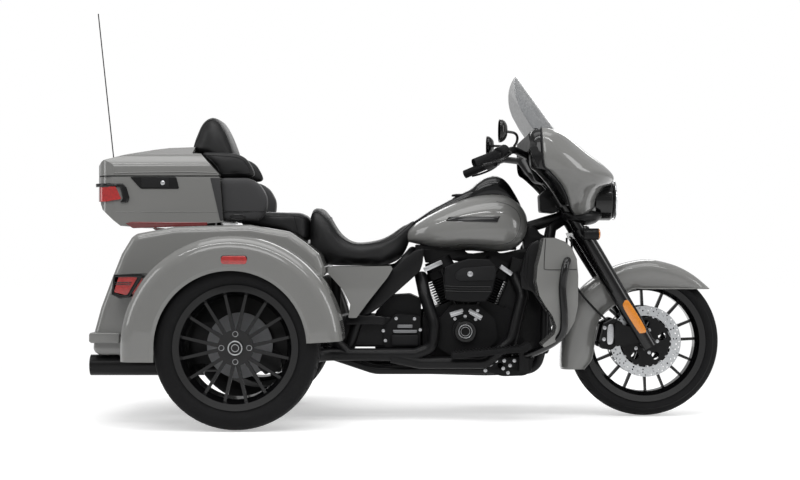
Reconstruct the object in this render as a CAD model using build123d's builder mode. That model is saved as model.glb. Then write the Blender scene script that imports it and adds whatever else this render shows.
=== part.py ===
"""A motorized trike: one raked front wheel, two driven rear wheels, a V-twin engine,
a rear body with a trunk, a touring case with a side-hinged lid and a fork-mounted fairing.

Frame: +X forward, +Y to the rider's left, +Z up, ground at Z 0, millimetres.
The origin is on the ground, halfway along the length and on the centre plane.
"""

import math
import os

from build123d import *

# Driving dimensions
WHEELBASE = 1680.0
FRONT_AXLE_X = 1016.0
REAR_AXLE_X = FRONT_AXLE_X - WHEELBASE
REAR_TRACK = 1105.0

FRONT_TYRE_R = 319.3
FRONT_TYRE_W = 130.0
FRONT_BEAD_R = 241.3
REAR_TYRE_R = 325.3
REAR_TYRE_W = 215.0
REAR_BEAD_R = 228.6
RIM_FLANGE = 16.0

HEAD_RAKE = 26.0
FORK_RAKE = 31.0
TRAIL = 100.0
FORK_SPREAD = 122.0
SLIDER_R = 31.0
COVER_R = 38.0
TUBE_R = 24.0

WALL = 4.0
GAP = 5.0
RUN_CLEAR = 0.05
FENDER_REACH = 35.0
HALF_WIDTH = (REAR_TRACK + REAR_TYRE_W) / 2 + FENDER_REACH
WELL_Y = 428.0
TOUR_HALF = 300.0

rear_axle = Vector(REAR_AXLE_X, 0, REAR_TYRE_R)
front_axle = Vector(FRONT_AXLE_X, 0, FRONT_TYRE_R)
rake = math.radians(HEAD_RAKE)
lean = math.radians(FORK_RAKE)
steer_up = Vector(-math.sin(rake), 0, math.cos(rake))
fork_up = Vector(-math.sin(lean), 0, math.cos(lean))


def steer_point(height):
    """The point of the steering axis at a height above the ground."""
    return Vector(FRONT_AXLE_X + TRAIL - height * math.tan(rake), 0, height)


def fork_point(height, side=0.0):
    """The point of a fork leg's centre line at a height above the ground."""
    drop = (height - FRONT_TYRE_R) * math.tan(lean)
    return Vector(FRONT_AXLE_X - drop, side, height)


# Shared shapes
def corner_radii(points, radius):
    """One radius per corner: none where the outline hardly turns, less where its sides are short."""
    count = len(points)
    radii = []
    for index in range(count):
        before, here, after = (Vector(*points[(index + step) % count]) for step in (-1, 0, 1))
        turn = math.radians((here - before).get_angle(after - here))
        if turn < math.radians(8):
            radii.append(0)
            continue
        room = 0.45 * min((here - before).length, (after - here).length) / math.tan(turn / 2)
        wanted = radius[index] if isinstance(radius, list) else radius
        radii.append(min(wanted, room))
    return radii


def outline(plane, points, radii):
    """A flat face with its corners rounded."""
    with BuildSketch(plane) as face:
        with BuildLine():
            if radii == 0:
                Polyline(*points, close=True)
            else:
                FilletPolyline(*points, radius=corner_radii(points, radii), close=True)
        make_face()
    return face.sketch


def side_slab(low, high, points, radii=0, mode=Mode.ADD):
    """A slab between two Y values, its outline given as (X, Z)."""
    face = outline(Plane.XZ.offset(-high), points, radii)
    extrude(face, amount=high - low, dir=(0, -1, 0), mode=mode)


def plan_slab(low, high, points, radii=0, mode=Mode.ADD):
    """A slab between two Z values, its outline given as (X, Y)."""
    face = outline(Plane.XY.offset(low), points, radii)
    extrude(face, amount=high - low, dir=(0, 0, 1), mode=mode)


def front_slab(low, high, points, radii=0, mode=Mode.ADD):
    """A slab between two X values, its outline given as (Y, Z)."""
    face = outline(Plane.YZ.offset(low), points, radii)
    extrude(face, amount=high - low, dir=(1, 0, 0), mode=mode)


def tube(points, bend, radius, mode=Mode.ADD):
    """A round bar along straight runs joined by arcs."""
    with BuildLine() as path:
        if len(points) == 2:
            Line(*points)
        else:
            FilletPolyline(*points, radius=bend)
    with BuildSketch(Plane(path.line @ 0, z_dir=path.line % 0)) as end:
        Circle(radius)
    sweep(end.sketch, path.line, mode=mode)


def drum(start, end, radius, mode=Mode.ADD):
    """A cylinder from one point to another."""
    start, end = Vector(start), Vector(end)
    along = end - start
    with BuildSketch(Plane(start, z_dir=along.normalized())) as face:
        Circle(radius)
    extrude(face.sketch, amount=along.length, mode=mode)


def cone(start, end, start_radius, end_radius, mode=Mode.ADD):
    """A round tapered bar from one point to another."""
    start, end = Vector(start), Vector(end)
    along = (end - start).normalized()
    with BuildSketch(Plane(start, z_dir=along)) as low:
        Circle(start_radius)
    with BuildSketch(Plane(end, z_dir=along)) as high:
        Circle(end_radius)
    loft([low.sketch.faces()[0], high.sketch.faces()[0]], mode=mode)


def mirrored(part):
    """The same piece on the left side."""
    return mirror(part, about=Plane.XZ)


def symmetric(points):
    """A plan outline, as (X, Y), completed by its own mirror image about the centre plane."""
    return points + [(x, -y) for x, y in reversed(points)]


def both_sides(points):
    """An end outline, as (Y, Z), completed by its own mirror image about the centre plane."""
    return points + [(-y, z) for y, z in reversed(points)]


def box_points(low_a, high_a, low_b, high_b):
    """The corners of a rectangle."""
    return [(low_a, low_b), (high_a, low_b), (high_a, high_b), (low_a, high_b)]


def save(part, name):
    """Label a finished piece and write it."""
    part.label = name
    export_step(part, f"parts/{name}.step")


os.makedirs("parts", exist_ok=True)


# Tyres: a carcass turned about the axle, seated on the rim's beads
TYRE_WALL = 12.0
CROWN_DROP_REAR = 12.0
CROWN_DROP_FRONT = 20.0


def make_tyre(centre, radius, width, bead, drop, flange_half):
    """A tyre as a turned ring: an arched tread and sidewalls outside, a hollow inside."""
    half = width / 2
    belly = (radius + bead) / 2
    shoulder = (half - drop * 0.6, radius - drop)
    plane = Plane(centre, x_dir=(0, 1, 0), z_dir=(1, 0, 0))
    with BuildPart() as tyre:
        with BuildSketch(plane) as section:
            with BuildLine():
                for side in (1, -1):
                    edge = (side * shoulder[0], shoulder[1])
                    foot = (side * flange_half, bead)
                    lip = (side * flange_half, bead + RIM_FLANGE)
                    inner_foot = (side * (flange_half - TYRE_WALL), bead)
                    inner_belly = (side * (half - TYRE_WALL), belly)
                    inner_edge = (side * (shoulder[0] - TYRE_WALL), shoulder[1] - TYRE_WALL)
                    Line(foot, lip)
                    ThreePointArc(lip, (side * half, belly), edge)
                    Polyline(foot, inner_foot, inner_belly, inner_edge)
                ThreePointArc((-shoulder[0], shoulder[1]), (0, radius), shoulder)
                Line(
                    (TYRE_WALL - shoulder[0], shoulder[1] - TYRE_WALL),
                    (shoulder[0] - TYRE_WALL, shoulder[1] - TYRE_WALL),
                )
            make_face()
        revolve(axis=Axis(centre, (0, 1, 0)))
    return tyre.part


# Wheels
REAR_FLANGE_HALF = 89.0
FRONT_FLANGE_HALF = 50.0
REAR_SPOKES = 16
FRONT_SPOKE_PAIRS = 8
SPOKE_W_HUB = 15.0
SPOKE_W_RIM = 11.0
SPOKE_T = 20.0
STUB_R = 20.0
REAR_HUB_R = 70.0
REAR_SPOKE_Y = 62.0
LUG_CIRCLE = 54.0
LUG_R = 9.0
FRONT_HUB_R = 42.0


def barrel(centre, bead, flange_half, drop):
    """A rim's turned barrel with its flanges and its drop centre."""
    lip = bead + RIM_FLANGE
    well = bead - drop
    plane = Plane(centre, x_dir=(0, 1, 0), z_dir=(1, 0, 0))
    with BuildSketch(plane) as section:
        with BuildLine():
            Polyline(
                (-flange_half - 8, lip),
                (-flange_half - 8, bead - 10),
                (-flange_half + 22, well - 6),
                (flange_half - 22, well - 6),
                (flange_half + 8, bead - 10),
                (flange_half + 8, lip),
                (flange_half, lip),
                (flange_half, bead),
                (flange_half - TYRE_WALL, bead),
                (flange_half - 26, well),
                (-flange_half + 26, well),
                (-flange_half + TYRE_WALL, bead),
                (-flange_half, bead),
                (-flange_half, lip),
                close=True,
            )
        make_face()
    revolve(section.sketch, axis=Axis(centre, (0, 1, 0)))


def spoke(centre, angle, root, tip_angle, tip, face_y, mode=Mode.ADD):
    """One tapered spoke lying in the wheel's plane, from root to tip radius."""
    a, b = math.radians(angle), math.radians(tip_angle)
    start = Vector(math.cos(a), math.sin(a)) * root
    end = Vector(math.cos(b), math.sin(b)) * tip
    across = (end - start).normalized().rotate(Axis.Z, 90)
    corners = [
        start + across * SPOKE_W_HUB / 2,
        end + across * SPOKE_W_RIM / 2,
        end - across * SPOKE_W_RIM / 2,
        start - across * SPOKE_W_HUB / 2,
    ]
    plane = Plane(centre + Vector(0, face_y, 0), x_dir=(1, 0, 0), z_dir=(0, -1, 0))
    face = outline(plane, [(c.X, c.Y) for c in corners], 0)
    extrude(face, amount=SPOKE_T, dir=(0, -1, 0), mode=mode)


def rear_rim(centre):
    """A sixteen-spoke rear rim whose spokes meet in pairs at the hub."""
    with BuildPart() as rim:
        barrel(centre, REAR_BEAD_R, REAR_FLANGE_HALF, 22)
        outer = Vector(0, -REAR_SPOKE_Y, 0)
        drum(centre + outer, centre + outer + Vector(0, -SPOKE_T - 4, 0), REAR_HUB_R)
        drum(centre + outer, centre + Vector(0, 80, 0), 46)
        for index in range(REAR_SPOKES):
            angle = 11.25 + index * 360 / REAR_SPOKES
            lean_in = 4.5 if index % 2 else -4.5
            spoke(centre, angle + lean_in, REAR_HUB_R - 8, angle, REAR_BEAD_R - 14, -REAR_SPOKE_Y)
        for index in range(4):
            turn = math.radians(index * 90)
            lug = Vector(math.cos(turn), 0, math.sin(turn)) * LUG_CIRCLE + centre + outer
            drum(lug + Vector(0, -SPOKE_T, 0), lug + Vector(0, -SPOKE_T - 14, 0), LUG_R)
        drum(centre + Vector(0, -REAR_SPOKE_Y - 20, 0), centre + Vector(0, -REAR_SPOKE_Y - 34, 0), 30)
        drum(centre + Vector(0, 90, 0), centre + Vector(0, -50, 0), STUB_R + RUN_CLEAR, Mode.SUBTRACT)
    return rim.part


REAR_DISC_R = 131.0
DISC_T = 6.0


def rear_disc(centre):
    """A brake disc bolted against the rim's inner hub."""
    with BuildPart() as disc:
        inner = centre + Vector(0, 80, 0)
        drum(inner, inner + Vector(0, DISC_T, 0), REAR_DISC_R)
        drum(inner, inner + Vector(0, DISC_T, 0), STUB_R + 4, Mode.SUBTRACT)
    return disc.part


right_hub = Vector(REAR_AXLE_X, -REAR_TRACK / 2, REAR_TYRE_R)
right_tyre = make_tyre(right_hub, REAR_TYRE_R, REAR_TYRE_W, REAR_BEAD_R, CROWN_DROP_REAR, REAR_FLANGE_HALF)
right_rim = rear_rim(right_hub)
right_disc = rear_disc(right_hub)
save(right_tyre, "rear_tyre_right")
save(right_rim, "rear_rim_right")
save(right_disc, "rear_disc_right")
save(mirrored(right_tyre), "rear_tyre_left")
save(mirrored(right_rim), "rear_rim_left")
save(mirrored(right_disc), "rear_disc_left")

FRONT_DISC_R = 150.0
FRONT_DISC_INNER = 92.0
FRONT_DISC_Y = 72.0
AXLE_R = 12.5

front_tyre = make_tyre(
    front_axle, FRONT_TYRE_R, FRONT_TYRE_W, FRONT_BEAD_R, CROWN_DROP_FRONT, FRONT_FLANGE_HALF
)
save(front_tyre, "front_tyre")

with BuildPart() as front_rim:
    barrel(front_axle, FRONT_BEAD_R, FRONT_FLANGE_HALF, 20)
    drum(front_axle + Vector(0, 66, 0), front_axle + Vector(0, -66, 0), FRONT_HUB_R)
    for index in range(FRONT_SPOKE_PAIRS):
        middle = 57.5 - index * 360 / FRONT_SPOKE_PAIRS
        for splay in (-10.4, 10.4):
            spoke(front_axle, middle + splay * 1.3, FRONT_HUB_R - 6, middle + splay, FRONT_BEAD_R - 22, 10)
    drum(front_axle + Vector(0, 80, 0), front_axle + Vector(0, -80, 0), AXLE_R + RUN_CLEAR, Mode.SUBTRACT)
save(front_rim.part, "front_rim")

with BuildPart() as front_discs:
    for side in (1, -1):
        near = front_axle + Vector(0, side * (FRONT_DISC_Y - DISC_T), 0)
        far = front_axle + Vector(0, side * FRONT_DISC_Y, 0)
        drum(near, far, FRONT_DISC_R)
        drum(near, far, FRONT_DISC_INNER, Mode.SUBTRACT)
        with BuildSketch(Plane(near, z_dir=(0, side, 0))) as carrier:
            Circle(FRONT_DISC_INNER + 8)
            with PolarLocations(68, 5):
                Circle(17, mode=Mode.SUBTRACT)
            Circle(30, mode=Mode.SUBTRACT)
        extrude(carrier.sketch, amount=DISC_T)
save(front_discs.part, "front_discs")

# Fork, stem and axle: the legs stand a little flatter than the steering axis
HEAD_LOW = 795.0
HEAD_HIGH = 895.0
HEAD_R = 34.0
STEM_R = 18.0
TREE_T = 28.0
LEG_TOP = 955.0
COVER_LOW = 690.0
SLIDER_FOOT = 300.0

with BuildPart() as fork:
    for side in (FORK_SPREAD, -FORK_SPREAD):
        cone(fork_point(SLIDER_FOOT, side), fork_point(COVER_LOW, side), SLIDER_R, COVER_R)
        drum(fork_point(COVER_LOW - 10, side), fork_point(LEG_TOP, side), TUBE_R)
        drum(fork_point(COVER_LOW, side), fork_point(HEAD_LOW - 8, side), COVER_R)
        drum(fork_point(HEAD_HIGH + 2, side), fork_point(LEG_TOP - 8, side), COVER_R)
    low_stem = steer_point(HEAD_LOW - TREE_T)
    high_stem = steer_point(HEAD_HIGH + TREE_T)
    drum(low_stem, high_stem, STEM_R)
    for height, up in ((HEAD_LOW, -1), (HEAD_HIGH, 1)):
        stem = steer_point(height) + steer_up * up * 2.0
        plane = Plane(stem, x_dir=(0, 1, 0), z_dir=steer_up * up)
        with BuildSketch(plane) as tree:
            ahead = (fork_point(height).X - steer_point(height).X) * -up
            with Locations((0, ahead / 2)):
                RectangleRounded(2 * FORK_SPREAD + 76, 70, 30)
        extrude(tree.sketch, amount=TREE_T)
    drum(
        front_axle + Vector(0, FORK_SPREAD + 26, 0),
        front_axle + Vector(0, -FORK_SPREAD - 26, 0),
        AXLE_R,
    )
save(fork.part, "fork")

# Brake calipers on the fork legs
CALIPER_W = 62.0

with BuildPart() as front_calipers:
    for side in (1, -1):
        low, high = sorted((side * (FRONT_DISC_Y - DISC_T - 14), side * (FORK_SPREAD - 12)))
        caliper = [(815, 292), (868, 285), (905, 320), (915, 400), (880, 418), (838, 395)]
        side_slab(low, high, caliper, 14)
        slot_low, slot_high = sorted((side * (FRONT_DISC_Y - DISC_T - GAP), side * (FRONT_DISC_Y + GAP)))
        disc_gap = Plane.XZ.offset(-slot_high)
        with BuildSketch(disc_gap) as gap:
            with Locations((FRONT_AXLE_X, FRONT_TYRE_R)):
                Circle(FRONT_DISC_R + GAP)
        extrude(gap.sketch, amount=slot_high - slot_low, mode=Mode.SUBTRACT)
        low, high = sorted((side * (FORK_SPREAD - 14), side * (FORK_SPREAD + 6)))
        side_slab(low, high, [(880, 300), (985, 318), (975, 372), (880, 402)], 8)
    for side in (FORK_SPREAD, -FORK_SPREAD):
        cone(fork_point(SLIDER_FOOT, side), fork_point(COVER_LOW, side), SLIDER_R, COVER_R, Mode.SUBTRACT)
save(front_calipers.part, "front_calipers")

# Front fender: a thin skin round the tyre with a deep rear skirt
FENDER_HALF = 84.0

crown = [
    (658, 200),
    (665, 300),
    (700, 480),
    (750, 545),
    (810, 590),
    (870, 628),
    (950, 655),
    (1040, 667),
    (1150, 640),
    (1220, 605),
    (1290, 550),
]
skirt = [
    (1285, 543),
    (950, 543),
    (900, 480),
    (830, 425),
    (800, 350),
    (790, 260),
    (765, 210),
    (750, 200),
]
under = outline(Plane.XZ.offset(WALL - FENDER_HALF), crown + [(1290, 100), (658, 100)], 0)
under = offset(under, amount=-WALL, kind=Kind.INTERSECTION)
with BuildPart() as front_fender:
    side_slab(-FENDER_HALF, FENDER_HALF, crown + skirt, 3)
    extrude(under, amount=2 * (FENDER_HALF - WALL), dir=(0, -1, 0), mode=Mode.SUBTRACT)
save(front_fender.part, "front_fender")

# Windshield: a curved sheet leaning back from the fairing's top edge
SHIELD_T = 4.0
SHIELD_R = 330.0

with BuildPart() as windshield:
    shield_lean = math.atan2(671 - 479, 1453 - 1183)
    shield_up = Vector(-math.sin(shield_lean), 0, math.cos(shield_lean))
    foot = Vector(668, 0, 1180)
    plane = Plane(foot, x_dir=(0, 1, 0), z_dir=shield_up)
    with BuildSketch(plane) as sheet:
        with BuildLine():
            outer_arc = CenterArc((0, SHIELD_R), SHIELD_R, 225, 90)
            inner_arc = CenterArc((0, SHIELD_R), SHIELD_R - SHIELD_T, 225, 90)
            Line(outer_arc @ 0, inner_arc @ 0)
            Line(outer_arc @ 1, inner_arc @ 1)
        make_face()
    extrude(sheet.sketch, amount=335)
    shield_front = [(235, 1150), (235, 1270), (222, 1330), (190, 1390), (140, 1435), (70, 1457)]
    front_slab(350, 800, both_sides(shield_front), 60, Mode.INTERSECT)
save(windshield.part, "windshield")

# Headlamp nacelle
with BuildPart() as headlamp:
    lamp = Vector(808, 0, 918)
    bowl = [(806, 918), (806, 1003), (872, 1003), (890, 990), (898, 966), (900, 918)]
    revolve(outline(Plane.XZ, bowl, 0), axis=Axis(lamp, (1, 0, 0)))
save(headlamp.part, "headlamp")

# Handlebar on two risers
BAR_R = 15.0
GRIP_R = 19.0
GRIP_END = Vector(272, -446, 1053)
GRIP_START = Vector(375, -395, 1095)
BAR_BENDS = [28, 60, 60, 40]
bar_path = [
    (590, 0, 1000),
    (560, -70, 1010),
    (505, -190, 1098),
    (440, -330, 1115),
    tuple(GRIP_START),
    tuple(GRIP_END + (GRIP_START - GRIP_END) * 0.06),
]

with BuildPart() as handlebar:
    tube(bar_path, BAR_BENDS, BAR_R)
    drum((650, -45, 938), (592, -45, 1000), 14)
    mirror(about=Plane.XZ)
save(handlebar.part, "handlebar")

# Fairing: a wide shell on the fork, flat-sided below and winged above
FAIRING_HALF = 385.0

fairing_side = [
    (560, 1215),
    (600, 1172),
    (680, 1165),
    (770, 1105),
    (850, 1040),
    (872, 1008),
    (840, 975),
    (800, 960),
    (775, 920),
    (770, 870),
    (740, 852),
    (700, 850),
    (680, 880),
    (665, 930),
    (640, 980),
    (600, 1030),
    (570, 1050),
    (562, 1100),
]
FAIRING_WALL = 10.0


def fairing_plan(inset):
    """The shell seen from above, straight at the wings and drawn in to the nose."""
    half = FAIRING_HALF - inset
    return symmetric([(300, half), (600 - inset / 2, half), (798, 0.572 * half), (885 - inset, 90)])


def fairing_front(inset):
    """The shell seen from ahead: wide wings above, drawn in below to the lamp."""
    half = FAIRING_HALF - inset
    wing = [(0.40 * half, 838 + inset), (0.68 * half, 905), (0.97 * half, 1040)]
    return both_sides(wing + [(half, 1085), (0.96 * half, 1140), (0.78 * half, 1190), (0.5 * half, 1240)])




with BuildPart() as fairing_core:
    core_side = [
        (400, 1190),
        (600, 1160),
        (680, 1153),
        (765, 1093),
        (838, 1035),
        (858, 1008),
        (832, 983),
        (792, 966),
        (762, 925),
        (758, 880),
        (740, 842),
        (400, 842),
    ]
    side_slab(-FAIRING_HALF - 10, FAIRING_HALF + 10, core_side, 4)
    plan_slab(700, 1300, fairing_plan(FAIRING_WALL), 55, Mode.INTERSECT)
    front_slab(350, 950, fairing_front(FAIRING_WALL), 40, Mode.INTERSECT)

with BuildPart() as fairing_outer:
    side_slab(-FAIRING_HALF - 10, FAIRING_HALF + 10, fairing_side, 5)
    plan_slab(700, 1300, fairing_plan(0), 60, Mode.INTERSECT)
    front_slab(350, 950, fairing_front(0), 50, Mode.INTERSECT)
    add(fairing_core.part, mode=Mode.SUBTRACT)
    add(windshield.part, mode=Mode.SUBTRACT)
    add(headlamp.part, mode=Mode.SUBTRACT)
save(fairing_outer.part, "fairing_outer")

# Inner fairing: the black dash that closes the back of the shell
with BuildPart() as bar_room:
    tube(bar_path, BAR_BENDS, BAR_R + GAP)
    mirror(about=Plane.XZ)

dash_side = [
    (520, 1200),
    (556, 1198),
    (552, 1100),
    (562, 1056),
    (594, 1026),
    (575, 1015),
    (532, 1045),
    (505, 1100),
    (500, 1180),
]
with BuildPart() as fairing_inner:
    side_slab(-FAIRING_HALF - 10, FAIRING_HALF + 10, dash_side, 5)
    front_slab(350, 950, fairing_front(0), 50, Mode.INTERSECT)
    add(bar_room.part, mode=Mode.SUBTRACT)
    for side in (FORK_SPREAD, -FORK_SPREAD):
        drum((650, side, 946), (588, side, 1022), 10)
    add(windshield.part, mode=Mode.SUBTRACT)
    add(fork.part, mode=Mode.SUBTRACT)
save(fairing_inner.part, "fairing_inner")

# Grips, mirrors and signals
with BuildPart() as grips:
    drum(GRIP_START + (GRIP_END - GRIP_START) * 0.1, GRIP_END, GRIP_R)
    drum(GRIP_START + (GRIP_END - GRIP_START) * 0.1, GRIP_END, BAR_R, Mode.SUBTRACT)
    mirror(about=Plane.XZ)
save(grips.part, "grips")

with BuildPart() as mirrors:
    glass = Vector(388, -452, 1185)
    with BuildSketch(Plane(glass, x_dir=(0, 1, 0), z_dir=(1, 0, 0.15))) as face:
        RectangleRounded(150, 92, 40)
    extrude(face.sketch, amount=24)
    tube([(440, -340, 1128), (452, -365, 1160), (440, -400, 1178), (405, -425, 1182)], [18, 18], 5.5)
    mirror(about=Plane.XZ)
save(mirrors.part, "mirrors")

with BuildPart() as front_signals:
    for side in (1, -1):
        drum((752, side * 120, 772), (752, side * 222, 772), 8)
        drum((738, side * 222, 772), (798, side * 222, 772), 24)
    add(fork.part, mode=Mode.SUBTRACT)
save(front_signals.part, "front_signals")

# Steering head and frame tubes
FRAME_R = 19.0
RAIL_Y = 150.0
RAIL_Z = 205.0

with BuildPart() as frame:
    drum(steer_point(HEAD_LOW), steer_point(HEAD_HIGH), HEAD_R)
    tube([(695, 0, 856), (450, 0, 782), (40, 0, 695), (-40, 0, 625), (-300, 0, 600)], 60, 24)
    for side in (1, -1):
        rail = [
            (692, side * 12, 845),
            (622, side * 45, 800),
            (592, side * 110, 640),
            (580, side * RAIL_Y, 330),
            (545, side * RAIL_Y, RAIL_Z),
            (-130, side * RAIL_Y, RAIL_Z),
            (-300, side * RAIL_Y, 262),
            (-380, side * RAIL_Y, 300),
            (-560, side * RAIL_Y, 300),
        ]
        tube(rail, [30, 80, 120, 60, 120, 120, 60], FRAME_R)
        strut = [
            (30, side * 10, 700),
            (2, side * RAIL_Y, 668),
            (-205, side * RAIL_Y, 400),
            (-250, side * RAIL_Y, 260),
        ]
        tube(strut, [40, 60], 22)
        drum((-545, side * RAIL_Y, 300), (-545, side * RAIL_Y, 470), 15)
    drum((-300, 0, 600), (-300, 0, 290), 22)
    drum((-300, RAIL_Y, 275), (-300, -RAIL_Y, 275), FRAME_R)
    drum((560, RAIL_Y, 260), (560, -RAIL_Y, 260), FRAME_R)
    drum(steer_point(HEAD_LOW - 30), steer_point(HEAD_HIGH + 30), STEM_R + RUN_CLEAR, Mode.SUBTRACT)
save(frame.part, "frame")

# Rear axle: final drive housing, axle tubes and the bearing ends that carry the wheels
AXLE_TUBE_R = 38.0

with BuildPart() as rear_axle_housing:
    drum((REAR_AXLE_X, 95, REAR_TYRE_R), (REAR_AXLE_X, -95, REAR_TYRE_R), 105)
    drum((REAR_AXLE_X, 440, REAR_TYRE_R), (REAR_AXLE_X, -440, REAR_TYRE_R), AXLE_TUBE_R)
    drum((REAR_AXLE_X, 590, REAR_TYRE_R), (REAR_AXLE_X, -590, REAR_TYRE_R), STUB_R)
    for side in (1, -1):
        low, high = sorted((side * (RAIL_Y - FRAME_R), side * (RAIL_Y + FRAME_R)))
        side_slab(low, high, [(-560, 278), (-560, 322), (-640, 345), (-640, 300)], 0)
        low, high = sorted((side * 430, side * 444.9))
        holder = [
            (-700, 290), (-700, 362), (-630, 362), (-502, 290), (-500, 218), (-560, 214),
        ]
        side_slab(low, high, holder, 6)
save(rear_axle_housing.part, "rear_axle_housing")

# Engine: crankcase with two finned barrels at 45 degrees
CRANK = Vector(266, 0, 345)
BANK = 22.5
CASE_HALF = 115.0
DECK = 165.0
CAM_X = 245.0
CAM_Z = 370.0
CAM_COVER_R = 50.0

with BuildPart() as crankcase:
    case = [
        (70, 260), (150, 222), (380, 222), (452, 300), (452, 440), (380, 520), (150, 520),
        (70, 430),
    ]
    side_slab(-CASE_HALF, CASE_HALF, case, 40)
    for tilt in (BANK, -BANK):
        angle = math.radians(tilt)
        up = Vector(math.sin(angle), 0, math.cos(angle))
        with BuildSketch(Plane(CRANK + up * DECK, x_dir=(0, 1, 0), z_dir=up)) as deck:
            Rectangle(3 * CASE_HALF, 190)
        extrude(deck.sketch, amount=150, mode=Mode.SUBTRACT)
    cam_case = [
        (130, 300), (190, 262), (310, 262), (385, 330), (372, 420), (300, 478), (190, 478),
        (122, 400),
    ]
    side_slab(-CASE_HALF - 36, -CASE_HALF, cam_case, 34)
    drum((CAM_X, -CASE_HALF - 30, CAM_Z), (CAM_X, -CASE_HALF - 62, CAM_Z), CAM_COVER_R)
save(crankcase.part, "crankcase")

FINS = 9
FIN_PITCH = 11.0
FIN_T = 4.0


def cylinder(tilt):
    """A finned barrel with its head and rocker box, tilted from the vertical."""
    angle = math.radians(tilt)
    up = Vector(math.sin(angle), 0, math.cos(angle))
    with BuildPart() as barrel_part:
        drum(CRANK + up * DECK, CRANK + up * 275, 56)
        for index in range(FINS):
            plane = Plane(CRANK + up * (172 + index * FIN_PITCH), x_dir=(0, 1, 0), z_dir=up)
            with BuildSketch(plane) as fin:
                RectangleRounded(165, 142, 40)
            extrude(fin.sketch, amount=FIN_T)
        plane = Plane(CRANK + up * 271, x_dir=(0, 1, 0), z_dir=up)
        with BuildSketch(plane) as head:
            RectangleRounded(180, 148, 30)
        extrude(head.sketch, amount=34)
        plane = Plane(CRANK + up * 305, x_dir=(0, 1, 0), z_dir=up)
        with BuildSketch(plane) as rocker:
            RectangleRounded(190, 122, 34)
        extrude(rocker.sketch, amount=42, taper=8)
    return barrel_part.part


save(cylinder(BANK), "cylinder_front")
save(cylinder(-BANK), "cylinder_rear")

with BuildPart() as transmission:
    side_slab(-110, 105, [(-130, 262), (64, 262), (64, 500), (20, 520), (-60, 515), (-130, 440)], 22)
    side_slab(-150, -108, [(-95, 300), (60, 300), (60, 430), (-40, 440), (-95, 380)], 18)
save(transmission.part, "transmission")

with BuildPart() as primary_cover:
    cover = [
        (-110, 262), (400, 262), (400, 470), (200, 470), (-110, 420),
    ]
    side_slab(CASE_HALF, CASE_HALF + 75, cover, [70, 80, 90, 200, 60])
    fillet(primary_cover.faces().sort_by(Axis.Y)[-1].edges(), 18)
save(primary_cover.part, "primary_cover")

with BuildPart() as air_cleaner:
    pod = [
        (165, 500), (156, 590), (165, 635), (200, 652), (262, 670), (345, 668), (374, 640),
        (372, 595), (357, 530), (330, 492), (245, 490),
    ]
    side_slab(-238, -150, pod, 8)
    fillet(air_cleaner.faces().sort_by(Axis.Y)[0].edges(), 6)
    drum((262, -152, 575), (262, -98, 575), 32)
save(air_cleaner.part, "air_cleaner")

# Exhaust: a header from each head, a collector under the frame and a muffler each side
PIPE_R = 26.0
MUFFLER_R = 42.0
MUFFLER_Y = 360.0

PIPE_Y = 202.0

with BuildPart() as exhaust:
    rear_header = [
        (62, -105, 600),
        (78, -170, 520),
        (118, -PIPE_Y, 400),
        (110, -PIPE_Y, 300),
        (40, -PIPE_Y, 272),
        (-340, -PIPE_Y, 272),
        (-500, -MUFFLER_Y, 240),
        (-820, -MUFFLER_Y, 240),
    ]
    tube(rear_header, [40, 60, 50, 40, 90, 90], PIPE_R)
    front_header = [
        (455, -105, 600),
        (488, -170, 520),
        (440, -PIPE_Y, 330),
        (330, -PIPE_Y, 238),
        (60, -PIPE_Y, 238),
        (-60, -PIPE_Y, 262),
    ]
    tube(front_header, [40, 60, 60, 60], PIPE_R)
    crossover = [
        (-240, -PIPE_Y, 272),
        (-300, -185, 330),
        (-360, -100, 365),
        (-420, 60, 365),
        (-490, 180, 358),
        (-600, MUFFLER_Y, 252),
        (-680, MUFFLER_Y, 240),
        (-820, MUFFLER_Y, 240),
    ]
    tube(crossover, [40, 50, 60, 60, 60, 60], PIPE_R)
save(exhaust.part, "exhaust_headers")

with BuildPart() as muffler_right:
    drum((-820, -MUFFLER_Y, 240), (-1278, -MUFFLER_Y, 240), MUFFLER_R)
    drum((-1230, -MUFFLER_Y, 240), (-1279, -MUFFLER_Y, 240), MUFFLER_R - 5, Mode.SUBTRACT)
save(muffler_right.part, "muffler_right")
save(mirrored(muffler_right.part), "muffler_left")

# Fuel tank with its centre console
TANK_HALF = 195.0
tank_side = [
    (5, 765), (0, 740), (50, 732), (100, 720), (300, 703), (420, 705), (460, 730), (492, 770),
    (502, 825), (492, 865), (470, 898), (440, 922), (400, 938), (350, 942), (300, 936), (200, 906),
    (100, 855), (50, 824), (10, 790),
]

with BuildPart() as fuel_tank:
    side_slab(-TANK_HALF - 5, TANK_HALF + 5, tank_side, 4)
    plan = [
        (-5, 70), (120, 150), (360, TANK_HALF), (490, 150), (512, 60),
    ]
    plan_slab(690, 960, symmetric(plan), 40, Mode.INTERSECT)
    end_view = [
        (-TANK_HALF, 690), (TANK_HALF, 690), (TANK_HALF, 820), (110, 950), (-110, 950),
        (-TANK_HALF, 820),
    ]
    front_slab(-20, 520, end_view, [50, 50, 80, 70, 70, 80], Mode.INTERSECT)
    side_slab(-32, 32, [(-20, 690), (530, 690), (530, 850), (450, 850), (-20, 770)], 0, Mode.SUBTRACT)
save(fuel_tank.part, "fuel_tank")

with BuildPart() as tank_console:
    hump = [
        (20, 812), (60, 838), (100, 868), (200, 930), (270, 966), (320, 1000), (370, 1018),
        (408, 1018), (440, 990), (475, 930), (512, 860), (500, 845), (480, 890), (440, 918),
        (400, 934), (350, 938), (300, 932), (200, 902), (100, 851), (40, 812),
    ]
    side_slab(-52, 52, hump, 4)
    add(fuel_tank.part, mode=Mode.SUBTRACT)
save(tank_console.part, "tank_console")

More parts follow.
